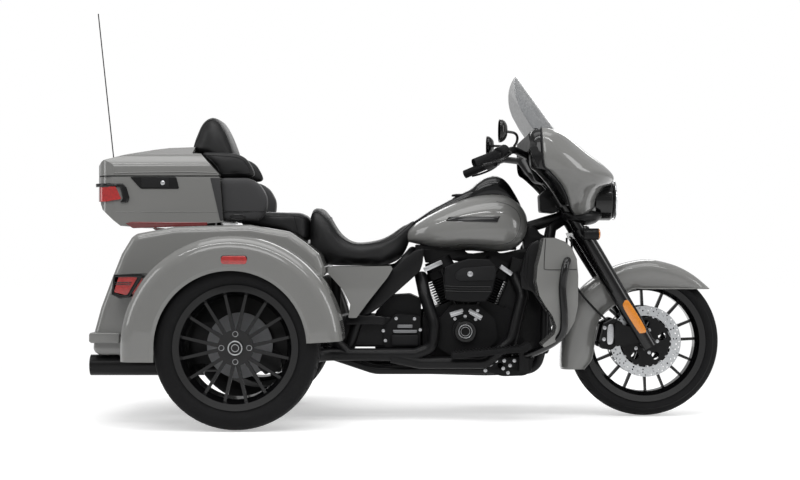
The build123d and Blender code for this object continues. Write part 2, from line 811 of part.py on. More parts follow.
# Rear body: a hollow trunk over the axle with a rear opening
DOOR_HALF = 320.0
BODY_CORNER = 30.0
BODY_EDGE = 30.0


def soften(builder, radius):
    """Rounds the edges round both side faces of the part being built."""
    fillet(builder.faces().sort_by(Axis.Y)[0].edges(), radius)
    fillet(builder.faces().sort_by(Axis.Y)[-1].edges(), radius)


with BuildPart() as trunk_room:
    inside = [
        (-480, 600), (-480, 760), (-630, 796), (-930, 788), (-1080, 761), (-1100, 748),
        (-1139, 690), (-1180, 586), (-1222, 473), (-1247, 380), (-1250, 310), (-910, 310),
        (-860, 485), (-500, 485),
    ]
    side_slab(-WELL_Y + WALL, WELL_Y - WALL, inside, 20)
    soften(trunk_room, BODY_EDGE - 2)

with BuildPart() as rear_body:
    shell = [
        (-330, 640), (-350, 690), (-410, 740), (-470, 780), (-630, 808), (-930, 800), (-1085, 772),
        (-1106, 757), (-1147, 690), (-1188, 586), (-1230, 473), (-1255, 380), (-1262, 300),
        (-1235, 282), (-900, 282), (-850, 470), (-480, 470), (-330, 600),
    ]
    side_slab(-WELL_Y, WELL_Y, shell, BODY_CORNER)
    soften(rear_body, BODY_EDGE)
    add(trunk_room.part, mode=Mode.SUBTRACT)
    opening = [(-1060, 731), (-1119, 731), (-1200, 700), (-1330, 410), (-1200, 410)]
    side_slab(-DOOR_HALF - GAP, DOOR_HALF + GAP, opening, 0, Mode.SUBTRACT)
    for side in (100, -130):
        side_slab(side, side + 30, [(-960, 796), (-800, 796), (-800, 816.55), (-960, 805.5)], 0)
save(rear_body.part, "rear_body")

with BuildPart() as trunk_door:
    door = [
        (-1116, 722), (-1126, 722), (-1150, 690), (-1190, 586), (-1233, 473), (-1248, 416),
        (-1238, 416), (-1223, 473), (-1180, 586), (-1140, 690),
    ]
    side_slab(-DOOR_HALF, DOOR_HALF, door, 0)
save(trunk_door.part, "trunk_door")

# Seats: soft pads on the frame and on the rear body
PAD_HALF = 172.0

with BuildPart() as seat_rider:
    rider = [
        (35, 834), (0, 815), (-50, 775), (-100, 748), (-150, 738), (-200, 731), (-240, 740),
        (-280, 770), (-302, 800), (-322, 840), (-352, 875), (-380, 888), (-402, 872), (-400, 700),
        (-330, 648), (-100, 645), (-60, 656), (-20, 686), (0, 728), (20, 790),
    ]
    side_slab(-180, 180, rider, 5)
    plan = [
        (-410, 150), (-330, 170), (-180, 172), (-60, 110), (50, 42),
    ]
    plan_slab(640, 900, symmetric(plan), 25, Mode.INTERSECT)
    for neighbour in (fuel_tank.part, tank_console.part, rear_body.part):
        add(neighbour, mode=Mode.SUBTRACT)
save(seat_rider.part, "seat_rider")

with BuildPart() as seat_passenger:
    pad = [(-408, 730), (-408, 852), (-430, 860), (-560, 862), (-640, 866), (-700, 870)]
    side_slab(-PAD_HALF, PAD_HALF, pad + [(-700, 790), (-640, 790), (-470, 770), (-420, 735)], 8)
    add(rear_body.part, mode=Mode.SUBTRACT)
save(seat_passenger.part, "seat_passenger")

# Rear fenders: a turned section over each wheel, with straight feet
FENDER_R = 436.0
FENDER_CENTRE = Vector(-680, 0, 330)
ARCH_R = 295.0
FENDER_FOOT = 272.0


def fender_section(facing):
    """The skin across the fender as (Y, radius): lip, side, rounded shoulder, top."""
    plane = Plane(FENDER_CENTRE, x_dir=(0, 1, 0), z_dir=facing)
    skin = [
        (-HALF_WIDTH + 5, ARCH_R),
        (-HALF_WIDTH, ARCH_R + 14),
        (-HALF_WIDTH + 12, FENDER_R - 5),
        (-WELL_Y - 0.5, FENDER_R),
        (-WELL_Y - 0.5, FENDER_R - WALL),
        (-HALF_WIDTH + 16, FENDER_R - WALL - 5),
        (-HALF_WIDTH + WALL, ARCH_R + 14),
        (-HALF_WIDTH + 5 + WALL, ARCH_R),
    ]
    return outline(plane, skin, [1, 4, 60, 0.5, 0.5, 56, 2, 1])


with BuildPart() as fender_right:
    revolve(fender_section((1, 0, 0)), axis=Axis(FENDER_CENTRE, (0, 1, 0)), revolution_arc=87)
    revolve(fender_section((1, 0, 0)), axis=Axis(FENDER_CENTRE, (0, -1, 0)), revolution_arc=90)
    extrude(fender_section((0, 0, 1)), amount=FENDER_CENTRE.Z - FENDER_FOOT, dir=(0, 0, -1))
save(fender_right.part, "fender_right")
save(mirrored(fender_right.part), "fender_left")

with BuildPart() as side_covers:
    cover = [
        (-326, 636), (-62, 640), (-56, 628), (-78, 590), (-150, 500), (-206, 424), (-240, 424),
        (-232, 480), (-262, 540), (-326, 612),
    ]
    side_slab(-RAIL_Y - 60, -RAIL_Y - 52, cover, 5)
    mirror(about=Plane.XZ)
save(side_covers.part, "side_covers")

with BuildPart() as rear_bumper:
    bar = [(-1200, 338), (-1292, 340), (-1292, 366), (-1200, 370)]
    side_slab(-WELL_Y - 40, WELL_Y + 40, bar, 2)
    side_slab(-WELL_Y, WELL_Y, shell, BODY_CORNER, Mode.SUBTRACT)
save(rear_bumper.part, "rear_bumper")

with BuildPart() as body_lamps:
    lens = [(-1130, 605), (-1040, 612), (-1040, 560), (-1090, 525), (-1150, 540)]
    side_slab(-560, -WELL_Y, lens, 5)
    drum((-680, -600, 330), (-680, -400, 330), FENDER_R, Mode.SUBTRACT)
    mirror(about=Plane.XZ)
save(body_lamps.part, "body_lamps")

PLATE_HOLE_R = 3.5
PLATE_HOLE_Y = 146.0
PLATE_HOLE_Z = 70.0

with BuildPart() as plate_holder:
    front_slab(-1297, -1292, box_points(-95, 95, 225, 352), 6)
    with BuildSketch(Plane.YZ.offset(-1300)) as holes:
        with Locations((0, 285)):
            with GridLocations(PLATE_HOLE_Y, PLATE_HOLE_Z, 2, 2):
                Circle(PLATE_HOLE_R)
    extrude(holes.sketch, amount=20, dir=(1, 0, 0), mode=Mode.SUBTRACT)
save(plate_holder.part, "plate_holder")

with BuildPart() as rear_calipers:
    for side in (1, -1):
        low, high = sorted((side * 445, side * 492))
        side_slab(low, high, [(-560, 210), (-498, 240), (-500, 290), (-570, 300), (-590, 240)], 8)
        slot_low, slot_high = sorted((side * 461.5, side * 477.5))
        gap = Plane.XZ.offset(-slot_high)
        with BuildSketch(gap) as disc_gap:
            with Locations((REAR_AXLE_X, REAR_TYRE_R)):
                Circle(REAR_DISC_R + GAP)
        extrude(disc_gap.sketch, amount=slot_high - slot_low, mode=Mode.SUBTRACT)
save(rear_calipers.part, "rear_calipers")

# Touring case: a hollow base and a lid hinged along its left edge
SEAM_Z = 1012.0
LID_FRONT = -885.0
SEAM_GAP = 5.0


def case_shape(side, inset):
    """A solid with this side view, the case's plan and the crown of its lid, all drawn in by the inset."""
    half = TOUR_HALF - inset
    back = -1300 + inset
    plan = [(-700, half), (back + 100, half), (back + 48, half - 18), (back + 22, half - 100), (back, 60)]
    crown = [(half, 740), (half, 1062 - inset), (half - 38, 1098 - inset), (130, 1141 - inset)]
    with BuildPart() as shape:
        side_slab(-TOUR_HALF, TOUR_HALF, side, 4)
        plan_slab(740, 1200, symmetric(plan), 50, Mode.INTERSECT)
        front_slab(-1350, -650, both_sides(crown), 40, Mode.INTERSECT)
    return shape.part


base_side = [
    (-1296, SEAM_Z - SEAM_GAP),
    (-1300, 990),
    (-1262, 905),
    (-1248, 872),
    (-1200, 828),
    (-1170, 805),
    (-1040, 800),
    (-750, 820),
    (-765, SEAM_Z - SEAM_GAP),
]
base_room = [
    (-1290, 1100),
    (-1291, 988),
    (-1254, 905),
    (-1240, 875),
    (-1195, 834),
    (-1166, 812),
    (-1040, 806),
    (LID_FRONT - 12, 816),
    (LID_FRONT - 12, 1100),
]
lid_side = [
    (-1300, SEAM_Z),
    (-1296, 1024),
    (-1286, 1050),
    (-1242, 1077),
    (-1148, 1103),
    (-1044, 1126),
    (-991, 1134),
    (LID_FRONT, 1139),
    (-862, 1120),
    (-762, SEAM_Z),
]
lid_room = [
    (-1290, 980),
    (-1288, 1022),
    (-1279, 1045),
    (-1240, 1071),
    (-1147, 1097),
    (-1043, 1120),
    (-991, 1128),
    (LID_FRONT - 5, 1133),
    (LID_FRONT - 5, 980),
]

base_outside = case_shape(base_side, 0)
with BuildPart() as tour_base:
    add(base_outside)
    add(case_shape(base_room, WALL), mode=Mode.SUBTRACT)
save(tour_base.part, "tour_base")

with BuildPart() as tour_lid:
    add(case_shape(lid_side, 0))
    add(case_shape(lid_room, WALL), mode=Mode.SUBTRACT)
    plan_slab(1000, 1200, box_points(LID_FRONT, -700, 62 - TOUR_HALF, TOUR_HALF - 62), 0, Mode.SUBTRACT)
save(tour_lid.part, "tour_lid")

with BuildPart() as backrest:
    pad = [
        (-876, 1130), (-850, 1190), (-825, 1240), (-800, 1253), (-775, 1248), (-750, 1225),
        (-720, 1180), (-700, 1125), (-690, 1095), (-730, 1007), (-770, 1007), (-840, 1095),
    ]
    side_slab(-165, 165, pad, 8)
    fillet(backrest.faces().sort_by(Axis.Y)[0].edges(), 8)
    fillet(backrest.faces().sort_by(Axis.Y)[-1].edges(), 8)
save(backrest.part, "backrest")

with BuildPart() as speaker_pods:
    pod = [(-750.8, 830), (-600, 830), (-572, 875), (-575, 930), (-600, 980), (-640, 1004), (-764.7, 1004)]
    side_slab(-285, -185, pod, 10)
    mirror(about=Plane.XZ)
save(speaker_pods.part, "speaker_pods")

with BuildPart() as arm_pads:
    pad = [
        (-764, 1007), (-795, 1090), (-690, 1096), (-655, 1080), (-635, 1050), (-622, 1007),
    ]
    side_slab(-224, -172, pad, 8)
    mirror(about=Plane.XZ)
save(arm_pads.part, "arm_pads")

with BuildPart() as tour_lamps:
    lens = [(-1310, 966), (-1190, 966), (-1166, 915), (-1228, 905), (-1310, 905)]
    side_slab(-TOUR_HALF - 6, 50 - TOUR_HALF, lens, 4)
    lens_plan = [(-1140, -200), (-1140, -306), (-1203, -306), (-1256, -287), (-1285, -202), (-1285, -190)]
    plan_slab(900, 970, lens_plan, 20, Mode.INTERSECT)
    add(base_outside, mode=Mode.SUBTRACT)
    mirror(about=Plane.XZ)
save(tour_lamps.part, "tour_lamps")

ANTENNA_Y = TOUR_HALF - 70

with BuildPart() as antenna:
    bracket = [(-1255, 985), (-1292, 985), (-1292, 960), (-1255, 955)]
    side_slab(ANTENNA_Y - 10, ANTENNA_Y + 10, bracket, 0)
    drum((-1281, ANTENNA_Y, 980), (-1291, ANTENNA_Y, 1080), 7)
    drum((-1290, ANTENNA_Y, 1070), (-1364, ANTENNA_Y, 1755), 2.5)
    add(base_outside, mode=Mode.SUBTRACT)
save(antenna.part, "antenna")

# Lower fairings, engine guard and footboards
with BuildPart() as lowers:
    lower = [
        (555, 755), (600, 755), (640, 740), (668, 715), (688, 670), (694, 600), (692, 480),
        (680, 420), (650, 368), (600, 334), (556, 312), (548, 322), (598, 366), (606, 396),
        (590, 440), (560, 482), (538, 520), (525, 580), (530, 640), (545, 700),
    ]
    side_slab(-405, -245, lower, 8)
    mirror(about=Plane.XZ)
save(lowers.part, "lower_fairings")

GUARD_R = 16.0
with BuildPart() as engine_guard:
    for side in (1, -1):
        loop = [
            (604, side * 130, 655),
            (722, side * 200, 668),
            (722, side * 425, 630),
            (720, side * 432, 420),
            (690, side * 380, 335),
            (600, side * 250, 258),
            (560, side * 175, 236),
        ]
        tube(loop, [40, 60, 60, 60, 60], GUARD_R)
    add(frame.part, mode=Mode.SUBTRACT)
save(engine_guard.part, "engine_guard")

with BuildPart() as footboards:
    for side in (1, -1):
        low, high = sorted((side * 232, side * 350))
        side_slab(low, high, [(195, 270), (490, 290), (512, 312), (505, 318), (486, 302), (195, 283)], 2)
        low, high = sorted((side * 200, side * 240))
        side_slab(low, high, [(468, 200), (506, 200), (506, 288), (468, 286)], 4)
        drum((487, side * 165, 212), (487, side * 205, 212), 10)
    add(frame.part, mode=Mode.SUBTRACT)
save(footboards.part, "footboards")
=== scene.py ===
"""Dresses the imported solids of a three-wheeled touring motorcycle for the studio picture.

Lengths are metres in the frame of the solids: X forward, Y to the left, Z up.
"""

import math

import bmesh
import bpy
import numpy as np
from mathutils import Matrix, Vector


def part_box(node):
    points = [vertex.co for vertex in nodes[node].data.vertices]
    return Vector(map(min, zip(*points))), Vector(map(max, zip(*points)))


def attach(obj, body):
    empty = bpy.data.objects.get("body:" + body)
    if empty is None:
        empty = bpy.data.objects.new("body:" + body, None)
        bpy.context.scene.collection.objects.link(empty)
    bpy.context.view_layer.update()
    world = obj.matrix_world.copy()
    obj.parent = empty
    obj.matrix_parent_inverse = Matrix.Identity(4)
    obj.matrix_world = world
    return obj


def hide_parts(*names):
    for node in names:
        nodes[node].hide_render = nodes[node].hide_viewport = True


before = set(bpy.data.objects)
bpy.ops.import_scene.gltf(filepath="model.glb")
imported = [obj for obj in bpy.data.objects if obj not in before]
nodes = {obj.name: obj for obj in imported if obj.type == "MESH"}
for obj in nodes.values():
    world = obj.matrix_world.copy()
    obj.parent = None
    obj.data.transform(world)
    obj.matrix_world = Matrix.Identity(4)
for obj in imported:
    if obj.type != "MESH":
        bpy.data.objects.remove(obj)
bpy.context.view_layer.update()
scene = bpy.context.scene


# The studio: a camera square on to the right-hand side, a pale seamless floor
# and large soft lamps overhead, as for a catalogue picture.

CAMERA_PLACE = (-0.025, -6.784, 0.695)
CAMERA_TILT = math.radians(90.46)
CAMERA_LENS = 71.2
CAMERA_SENSOR = 36.0

camera = bpy.data.objects.new("camera", bpy.data.cameras.new("camera"))
scene.collection.objects.link(camera)
camera.location = CAMERA_PLACE
camera.rotation_euler = (CAMERA_TILT, 0, 0)
camera.data.sensor_width = CAMERA_SENSOR
camera.data.lens = CAMERA_LENS
camera.data.clip_end = 100
scene.camera = camera
scene.view_settings.view_transform = "Standard"


class Value:
    """A shader socket, or a plain number, on which arithmetic adds Math nodes."""

    def __init__(self, finish, socket):
        self.finish, self.socket = finish, socket

    def maths(self, operation, *others):
        return self.finish.node(
            "ShaderNodeMath", {"operation": operation}, **{str(i): v for i, v in enumerate((self, *others))}
        )

    def __add__(self, other):
        return self.maths("ADD", other)

    def __mul__(self, other):
        return self.maths("MULTIPLY", other)


class Finish:
    """One procedural material: a Principled shader whose inputs are set by name."""

    def __init__(self, name, **constants):
        self.material = bpy.data.materials.new(name)
        self.material.use_nodes = True
        self.tree = self.material.node_tree
        self.tree.nodes.clear()
        self.end = self.tree.nodes.new("ShaderNodeOutputMaterial")
        self.shader = self.tree.nodes.new("ShaderNodeBsdfPrincipled")
        self.tree.links.new(self.shader.outputs[0], self.end.inputs["Surface"])
        for key, value in constants.items():
            self.set(key.replace("_", " ").title().replace("Ior", "IOR"), value)

    def set(self, name, value):
        self.feed(self.shader.inputs[name], value)
        return self

    def feed(self, socket, value):
        if isinstance(value, Value):
            self.tree.links.new(value.socket, socket)
        elif isinstance(value, tuple) and len(value) == 3 and socket.type == "RGBA":
            socket.default_value = (*value, 1)
        else:
            socket.default_value = value

    def node(self, kind, settings=None, output=0, **sockets):
        """Adds a node of this kind, its settings first, and feeds its sockets by name or number."""
        made = self.tree.nodes.new(kind)
        for key, value in (settings or {}).items():
            setattr(made, key, value)
        for key, value in sockets.items():
            self.feed(made.inputs[int(key) if key.isdigit() else key.replace("_", " ")], value)
        return Value(self, made.outputs[output])

    def place(self):
        return self.node("ShaderNodeTexCoord", output=3)

    def noise(self, scale, detail=2.0, roughness=0.5):
        """Noise from 0 to 1 over the object's own coordinates."""
        return self.node("ShaderNodeTexNoise", Vector=self.place(), Scale=scale, Detail=detail, Roughness=roughness)

    def mix(self, factor, dark, light):
        return self.node("ShaderNodeMix", {"data_type": "RGBA"}, 2, **{"0": factor, "6": dark, "7": light})

    def bump(self, height, distance, strength=1.0):
        self.set(
            "Normal",
            self.node("ShaderNodeBump", Height=height, Distance=distance, Strength=strength),
        )
        return self


def linear(red, green, blue):
    """A colour as it is seen on screen, 0 to 255, turned into the light values of a shader."""
    return tuple(
        c / 12.92 if c <= 0.04045 else ((c + 0.055) / 1.055) ** 2.4
        for c in (red / 255, green / 255, blue / 255)
    )


def mesh_object(name, points, faces, finish, body=None, smooth=True):
    """A mesh at the origin from an array of points and a list or array of faces."""
    mesh = bpy.data.meshes.new(name)
    mesh.from_pydata(np.asarray(points, float).reshape(-1, 3).tolist(), [], [list(map(int, f)) for f in faces])
    mesh.update()
    mesh.polygons.foreach_set("use_smooth", np.full(len(mesh.polygons), smooth))
    if finish is not None:
        mesh.materials.append(finish.material)
    piece = bpy.data.objects.new(name, mesh)
    scene.collection.objects.link(piece)
    if body:
        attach(piece, body)
    return piece


FLOOR_SIZE = 24.0
floor_finish = Finish("studio_floor", roughness=0.9, emission_strength=1.0, specular_ior_level=0.0)
spot = floor_finish.node("ShaderNodeVectorMath", {"operation": "LENGTH"}, 1, **{"0": floor_finish.place()})
far = floor_finish.node(
    "ShaderNodeMapRange", {"interpolation_type": "SMOOTHSTEP"}, Value=spot, **{"1": 1.2, "2": 3.6},
)
rays = [floor_finish.node("ShaderNodeLightPath", output=k) for k in (0, 3, 6)]
seen_directly = rays[0] + rays[1] + rays[2]
floor_finish.set("Base Color", floor_finish.mix(far, (0.86, 0.86, 0.86), (0.0, 0.0, 0.0)))
floor_finish.set("Emission Color", seen_directly * (far * 0.6 + 0.42))
floor = mesh_object(
    "floor",
    [(x * FLOOR_SIZE, y * FLOOR_SIZE, -0.0005) for x, y in ((-1, -1), (1, -1), (1, 1), (-1, 1))],
    [(0, 1, 2, 3)],
    floor_finish,
    smooth=False,
)

world = bpy.data.worlds.new("studio")
world.use_nodes = True
scene.world = world
backdrop = world.node_tree.nodes["Background"]
backdrop.inputs["Color"].default_value = (1, 1, 1, 1)
seen = world.node_tree.nodes.new("ShaderNodeLightPath")
level = world.node_tree.nodes.new("ShaderNodeMapRange")
level.inputs["To Min"].default_value = 0.42
level.inputs["To Max"].default_value = 1.0
bright = world.node_tree.nodes.new("ShaderNodeMath")
world.node_tree.links.new(seen.outputs["Is Camera Ray"], bright.inputs[0])
world.node_tree.links.new(seen.outputs["Is Transmission Ray"], bright.inputs[1])
world.node_tree.links.new(bright.outputs[0], level.inputs["Value"])
world.node_tree.links.new(level.outputs["Result"], backdrop.inputs["Strength"])

LAMPS = (
    # name, place, aimed at, width, depth, watts
    ("lamp_overhead", (0.0, -0.6, 3.6), (0, 0, 0.5), 4.2, 1.6, 55),
    ("lamp_strip", (-0.2, -2.2, 3.4), (0, 0, 0.7), 5.4, 0.16, 46),
    ("lamp_near", (-0.8, -4.4, 3.2), (0, 0, 0.6), 3.2, 1.2, 52),
    ("lamp_front", (4.0, -1.6, 2.0), (0.4, 0, 0.6), 1.2, 2.4, 40),
    ("lamp_rear", (-4.2, -1.2, 2.0), (-0.6, 0, 0.6), 1.2, 2.4, 30),
    ("lamp_far", (0.0, 4.0, 2.6), (0, 0, 0.6), 4.0, 1.4, 45),
)
for name, place, target, width, depth, watts in LAMPS:
    lamp = bpy.data.objects.new(name, bpy.data.lights.new(name, "AREA"))
    lamp.data.shape = "RECTANGLE"
    lamp.data.size, lamp.data.size_y, lamp.data.energy = width, depth, watts
    scene.collection.objects.link(lamp)
    lamp.location = place
    away = [a - b for a, b in zip(place, target)]
    flat = math.hypot(away[0], away[1])
    lamp.rotation_euler = (math.atan2(flat, away[2]), 0, math.atan2(away[0], -away[1]))


# Finishes. The body panels are one plain grey enamel under clear lacquer; the
# running gear is powder-coated, the trim gloss black, the seats grained vinyl.

def paint(name, shade, coat=1.0, roughness=0.42):
    """Solid enamel: a trace of colour drift over the panel, and a clear coat with faint ripple."""
    made = Finish(name, roughness=roughness, coat_weight=coat, coat_roughness=0.03, specular_ior_level=0.2)
    drift = made.noise(3.0, 1.0)
    made.set("Base Color", made.mix(drift, tuple(c * 0.96 for c in shade), tuple(c * 1.04 for c in shade)))
    made.bump(made.noise(180.0, 1.0), 0.00004)
    return made


def powder(name, shade, grain, depth, roughness, coat=0.0):
    """Powder coat: a fine pebbled skin whose roughness wanders with the pebbles."""
    made = Finish(name, coat_weight=coat, coat_roughness=0.12, specular_ior_level=0.14)
    pebble = made.noise(grain, 2.0, 0.6)
    made.set("Base Color", made.mix(pebble, tuple(c * 0.8 for c in shade), tuple(c * 1.2 for c in shade)))
    made.set("Roughness", made.noise(14.0, 2.0) * 0.16 + (roughness - 0.08))
    made.bump(pebble, depth)
    return made


grey_paint = paint("grey_paint", linear(116, 116, 114))
gloss_black = paint("gloss_black", linear(7, 7, 8), 0.4, 0.25)
satin_black = powder("satin_black", linear(15, 15, 16), 900.0, 0.00006, 0.42, 0.08)
frame_black = powder("frame_black", linear(12, 12, 13), 500.0, 0.00005, 0.30, 0.22)
wrinkle_black = powder("wrinkle_black", linear(19, 19, 20), 420.0, 0.0003, 0.55)
moulded_black = powder("moulded_black", linear(30, 30, 31), 1400.0, 0.00008, 0.58)
pod_black = powder("pod_black", linear(60, 60, 61), 1400.0, 0.00008, 0.5)
rubber = powder("rubber", linear(20, 20, 21), 350.0, 0.00010, 0.72)
grip_rubber = powder("grip_rubber", linear(22, 22, 23), 700.0, 0.00012, 0.68)


def brushed(name, shade, roughness, metallic=1.0):
    """Bare metal: the fine grain the tool left, in shade, roughness and bump."""
    made = Finish(name, metallic=metallic)
    lines = made.noise(260.0, 3.0, 0.6)
    made.set("Base Color", made.mix(lines, tuple(c * 0.82 for c in shade), shade))
    made.set("Roughness", lines * 0.2 + (roughness - 0.1))
    made.bump(lines, 0.00003)
    return made


disc_steel = brushed("disc_steel", linear(196, 198, 200), 0.32)
cast_grey = brushed("cast_grey", linear(128, 129, 131), 0.45, metallic=0.35)
bare_alloy = brushed("bare_alloy", linear(190, 191, 193), 0.3)
chrome = brushed("chrome", linear(228, 229, 231), 0.12)
vinyl = Finish("vinyl", roughness=0.5, coat_weight=0.03, coat_roughness=0.4, specular_ior_level=0.28)
grain_cells = vinyl.node("ShaderNodeTexVoronoi", {"feature": "F1"}, Vector=vinyl.place(), Scale=420.0)
vinyl.set("Base Color", vinyl.mix(vinyl.noise(9.0), linear(14, 14, 15), linear(21, 21, 22)))
vinyl.set("Roughness", vinyl.noise(30.0) * 0.14 + 0.4)
vinyl.bump(grain_cells, 0.0003, 0.7)

red_lens = Finish("red_lens", roughness=0.12, coat_weight=1.0, specular_ior_level=0.6, transmission_weight=0.15)
ribs = red_lens.noise(90.0, 1.0)
red_lens.set("Base Color", red_lens.mix(ribs, linear(150, 14, 14), linear(205, 34, 30)))
red_lens.bump(ribs, 0.0002)
dark_red_lens = Finish("dark_red_lens", roughness=0.14, coat_weight=0.6)
dark_red_lens.set("Base Color", dark_red_lens.mix(dark_red_lens.noise(60.0), linear(84, 6, 8), linear(112, 12, 12)))
amber_lens = Finish("amber_lens", roughness=0.15, coat_weight=1.0)
amber_cells = amber_lens.node("ShaderNodeTexVoronoi", {"feature": "F1"}, Vector=amber_lens.place(), Scale=380.0)
amber_lens.set("Base Color", amber_lens.mix(amber_cells, linear(200, 108, 6), linear(232, 148, 24)))
amber_lens.bump(amber_cells, 0.0003)
smoked_screen = Finish("smoked_screen", base_color=linear(120, 122, 124), roughness=0.05, coat_weight=0.6)
mirror_glass = Finish("mirror_glass", base_color=linear(225, 228, 230), roughness=0.03, metallic=1.0)

# Solids that stay in sight and keep gloss black whatever their slot says.
KEPT_GLOSS = ("headlamp", "front_rim", "rear_rim_right", "rear_rim_left")
SLOT_FINISH = {
    "body_paint": grey_paint, "satin_black": satin_black, "gloss_black": gloss_black,
    "engine_black": wrinkle_black, "tyre": rubber, "grip_rubber": grip_rubber, "seat_vinyl": vinyl,
    "brake_steel": disc_steel, "disc_grey": cast_grey, "caliper_grey": satin_black,
    "windshield": smoked_screen, "red_lens": red_lens,
}
# The slot named for a new piece of each finish, unless its own call names another; piece() works it out but keeps it
# nowhere.
PIECE_SLOT = {
    grey_paint: "body_paint", gloss_black: "gloss_black", satin_black: "satin_black", moulded_black: "satin_black",
    frame_black: "satin_black", pod_black: "satin_black", wrinkle_black: "engine_black", vinyl: "seat_vinyl",
    rubber: "grip_rubber", bare_alloy: "brake_steel", cast_grey: "brake_steel", disc_steel: "brake_steel",
    chrome: "brake_steel", mirror_glass: "brake_steel", red_lens: "red_lens", dark_red_lens: "red_lens",
    amber_lens: "red_lens", smoked_screen: "windshield",
}
for name, solid in nodes.items():
    own = solid.material_slots[0].material.name if solid.material_slots else ""
    finish = gloss_black if name in KEPT_GLOSS else next(
        (f for slot, f in SLOT_FINISH.items() if slot in own), satin_black,
    )
    for slot in solid.material_slots:
        slot.material = finish.material


# Tyres: black rubber carcasses on both axles, moulded with slanted water
# grooves over the crown and short ribs round the shoulders.

def smooth_line(points, count, closed=False):
    """Points evenly spaced along the Catmull-Rom curve that passes through the given ones."""
    given = np.asarray(points, float)
    ends = (given[-1:], given[:2]) if closed else (2 * given[:1] - given[1:2], 2 * given[-1:] - given[-2:-1])
    around = np.vstack([ends[0], given, ends[1]])
    t = np.linspace(0, 1, 16, endpoint=False)[:, None, None]
    a, b, c, d = (around[None, k : len(around) - 3 + k] for k in range(4))
    curve = b + 0.5 * t * (c - a + t * (2 * a - 5 * b + 4 * c - d + t * (3 * (b - c) + d - a)))
    dense = np.vstack([curve.transpose(1, 0, 2).reshape(-1, given.shape[1]), around[-2:-1]])
    length = np.r_[0, np.cumsum(np.linalg.norm(np.diff(dense, axis=0), axis=1))]
    at = np.linspace(0, length[-1], count, endpoint=not closed)
    return np.stack([np.interp(at, length, dense[:, k]) for k in range(given.shape[1])], 1)


def grid_shell(points, wrap_rows=False, wrap_columns=False, capped=False):
    """Quads over a grid of points, joined round either way, its end rows filled when capped."""
    points = np.asarray(points, float)
    rows, columns = points.shape[:2]
    index = np.arange(rows * columns).reshape(rows, columns)
    if wrap_rows:
        index = np.vstack([index, index[:1]])
    if wrap_columns:
        index = np.hstack([index, index[:, :1]])
    faces = np.stack([index[:-1, :-1], index[:-1, 1:], index[1:, 1:], index[1:, :-1]], -1).reshape(-1, 4).tolist()
    if capped:
        faces += [list(range(columns)), [index[-1, k] for k in range(columns)][::-1]]
    return points.reshape(-1, 3), faces


def piece(name, shells, finish, body="chassis", thickness=None, replaced=(), slot=None, smooth=True):
    """Joins shells given in millimetres into one mesh whose faces point outwards, and rides it on a body."""
    points, faces = [], []
    for shell_points, shell_faces in shells:
        faces += [[i + len(points) for i in face] for face in shell_faces]
        points += (np.asarray(shell_points) / 1000).tolist()
    made = mesh_object(name, points, faces, finish, body, smooth)
    build = bmesh.new()
    build.from_mesh(made.data)
    bmesh.ops.remove_doubles(build, verts=build.verts, dist=1e-6)
    bmesh.ops.recalc_face_normals(build, faces=build.faces)
    build.to_mesh(made.data)
    build.free()
    if thickness:
        wall = made.modifiers.new("wall", "SOLIDIFY")
        wall.thickness, wall.offset = thickness / 1000, -1
    if smooth:
        made.data.set_sharp_from_angle(angle=math.radians(38))
    if replaced:
        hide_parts(*replaced)
    slot = PIECE_SLOT.get(finish) if slot is None else slot
    return made


TREAD_STEPS = 720


def tyre_shell(centre, radius, width, bead, drop, flange, blocks, depth):
    """A turned section, bead to bead. Grooves: the crown sinks where a slanted saw wave crosses its slot."""
    half = width / 2
    edge = half - drop * 0.6
    side = [
        (flange, bead + 3), (flange + 3, bead + 18), (half - 3, (radius + bead) / 2 - 8),
        (half, (radius + bead) / 2 + 4),
    ]
    crown = [(edge + 3, radius - drop - 8), (edge * 0.86, radius - drop * 0.62), (edge * 0.5, radius - drop * 0.2)]
    section = smooth_line([(-y, r) for y, r in side + crown] + [(0, radius - 0.3)] + (side + crown)[::-1], 73)
    turn = np.linspace(0, 2 * math.pi, TREAD_STEPS, endpoint=False)[:, None]
    across, reach = section[None, :, 0], section[None, :, 1]
    wave = np.mod(blocks * turn / (2 * math.pi) + 1.1 * np.abs(across) / half * np.sign(across), 1)
    on_crown = np.clip((0.90 * edge - np.abs(across)) / 6, 0, 1) * np.clip((np.abs(across) - 0.14 * half) / 5, 0, 1)
    slot = np.clip(1 - np.abs(wave - 0.5) / 0.10, 0, 1) * 1.6
    ring = np.clip(1 - np.abs(np.abs(across) - 0.30 * half) / 4.5, 0, 1) * 1.5
    ribs = (
        np.mod(4 * blocks * turn / (2 * math.pi), 1) < 0.5
    ) * np.clip(1 - np.abs(np.abs(across) - edge - 2) / 4, 0, 1)
    sunk = reach - depth * np.clip(np.maximum(slot * on_crown, ring), 0, 1) - 1.2 * ribs
    x, y, z = centre
    return grid_shell(
        np.stack([x + sunk * np.cos(turn), y + across + 0 * turn, z + sunk * np.sin(turn)], -1), wrap_rows=True
    )


REAR_X, REAR_Z, REAR_Y = -664.0, 325.3, 552.5
FRONT_AXLE = (1016.0, 0.0, 319.3)
for side, word in ((-1, "right"), (1, "left")):
    shell = tyre_shell((REAR_X, side * REAR_Y, REAR_Z), REAR_Z, 215.0, 228.6, 12.0, 89.0, 44, 6.0)
    piece(f"rear_tread_{word}", [shell], rubber, f"rear_wheel_{word}", replaced=(f"rear_tyre_{word}",), slot="tyre")
piece(
    "front_tread", [tyre_shell(FRONT_AXLE, FRONT_AXLE[2], 130.0, 241.3, 20.0, 50.0, 36, 5.0)], rubber, "front_wheel",
    replaced=("front_tyre",), slot="tyre",
)


# Front brakes: drilled steel rotors held by buttons to black alloy carriers,
# one each side of the wheel.

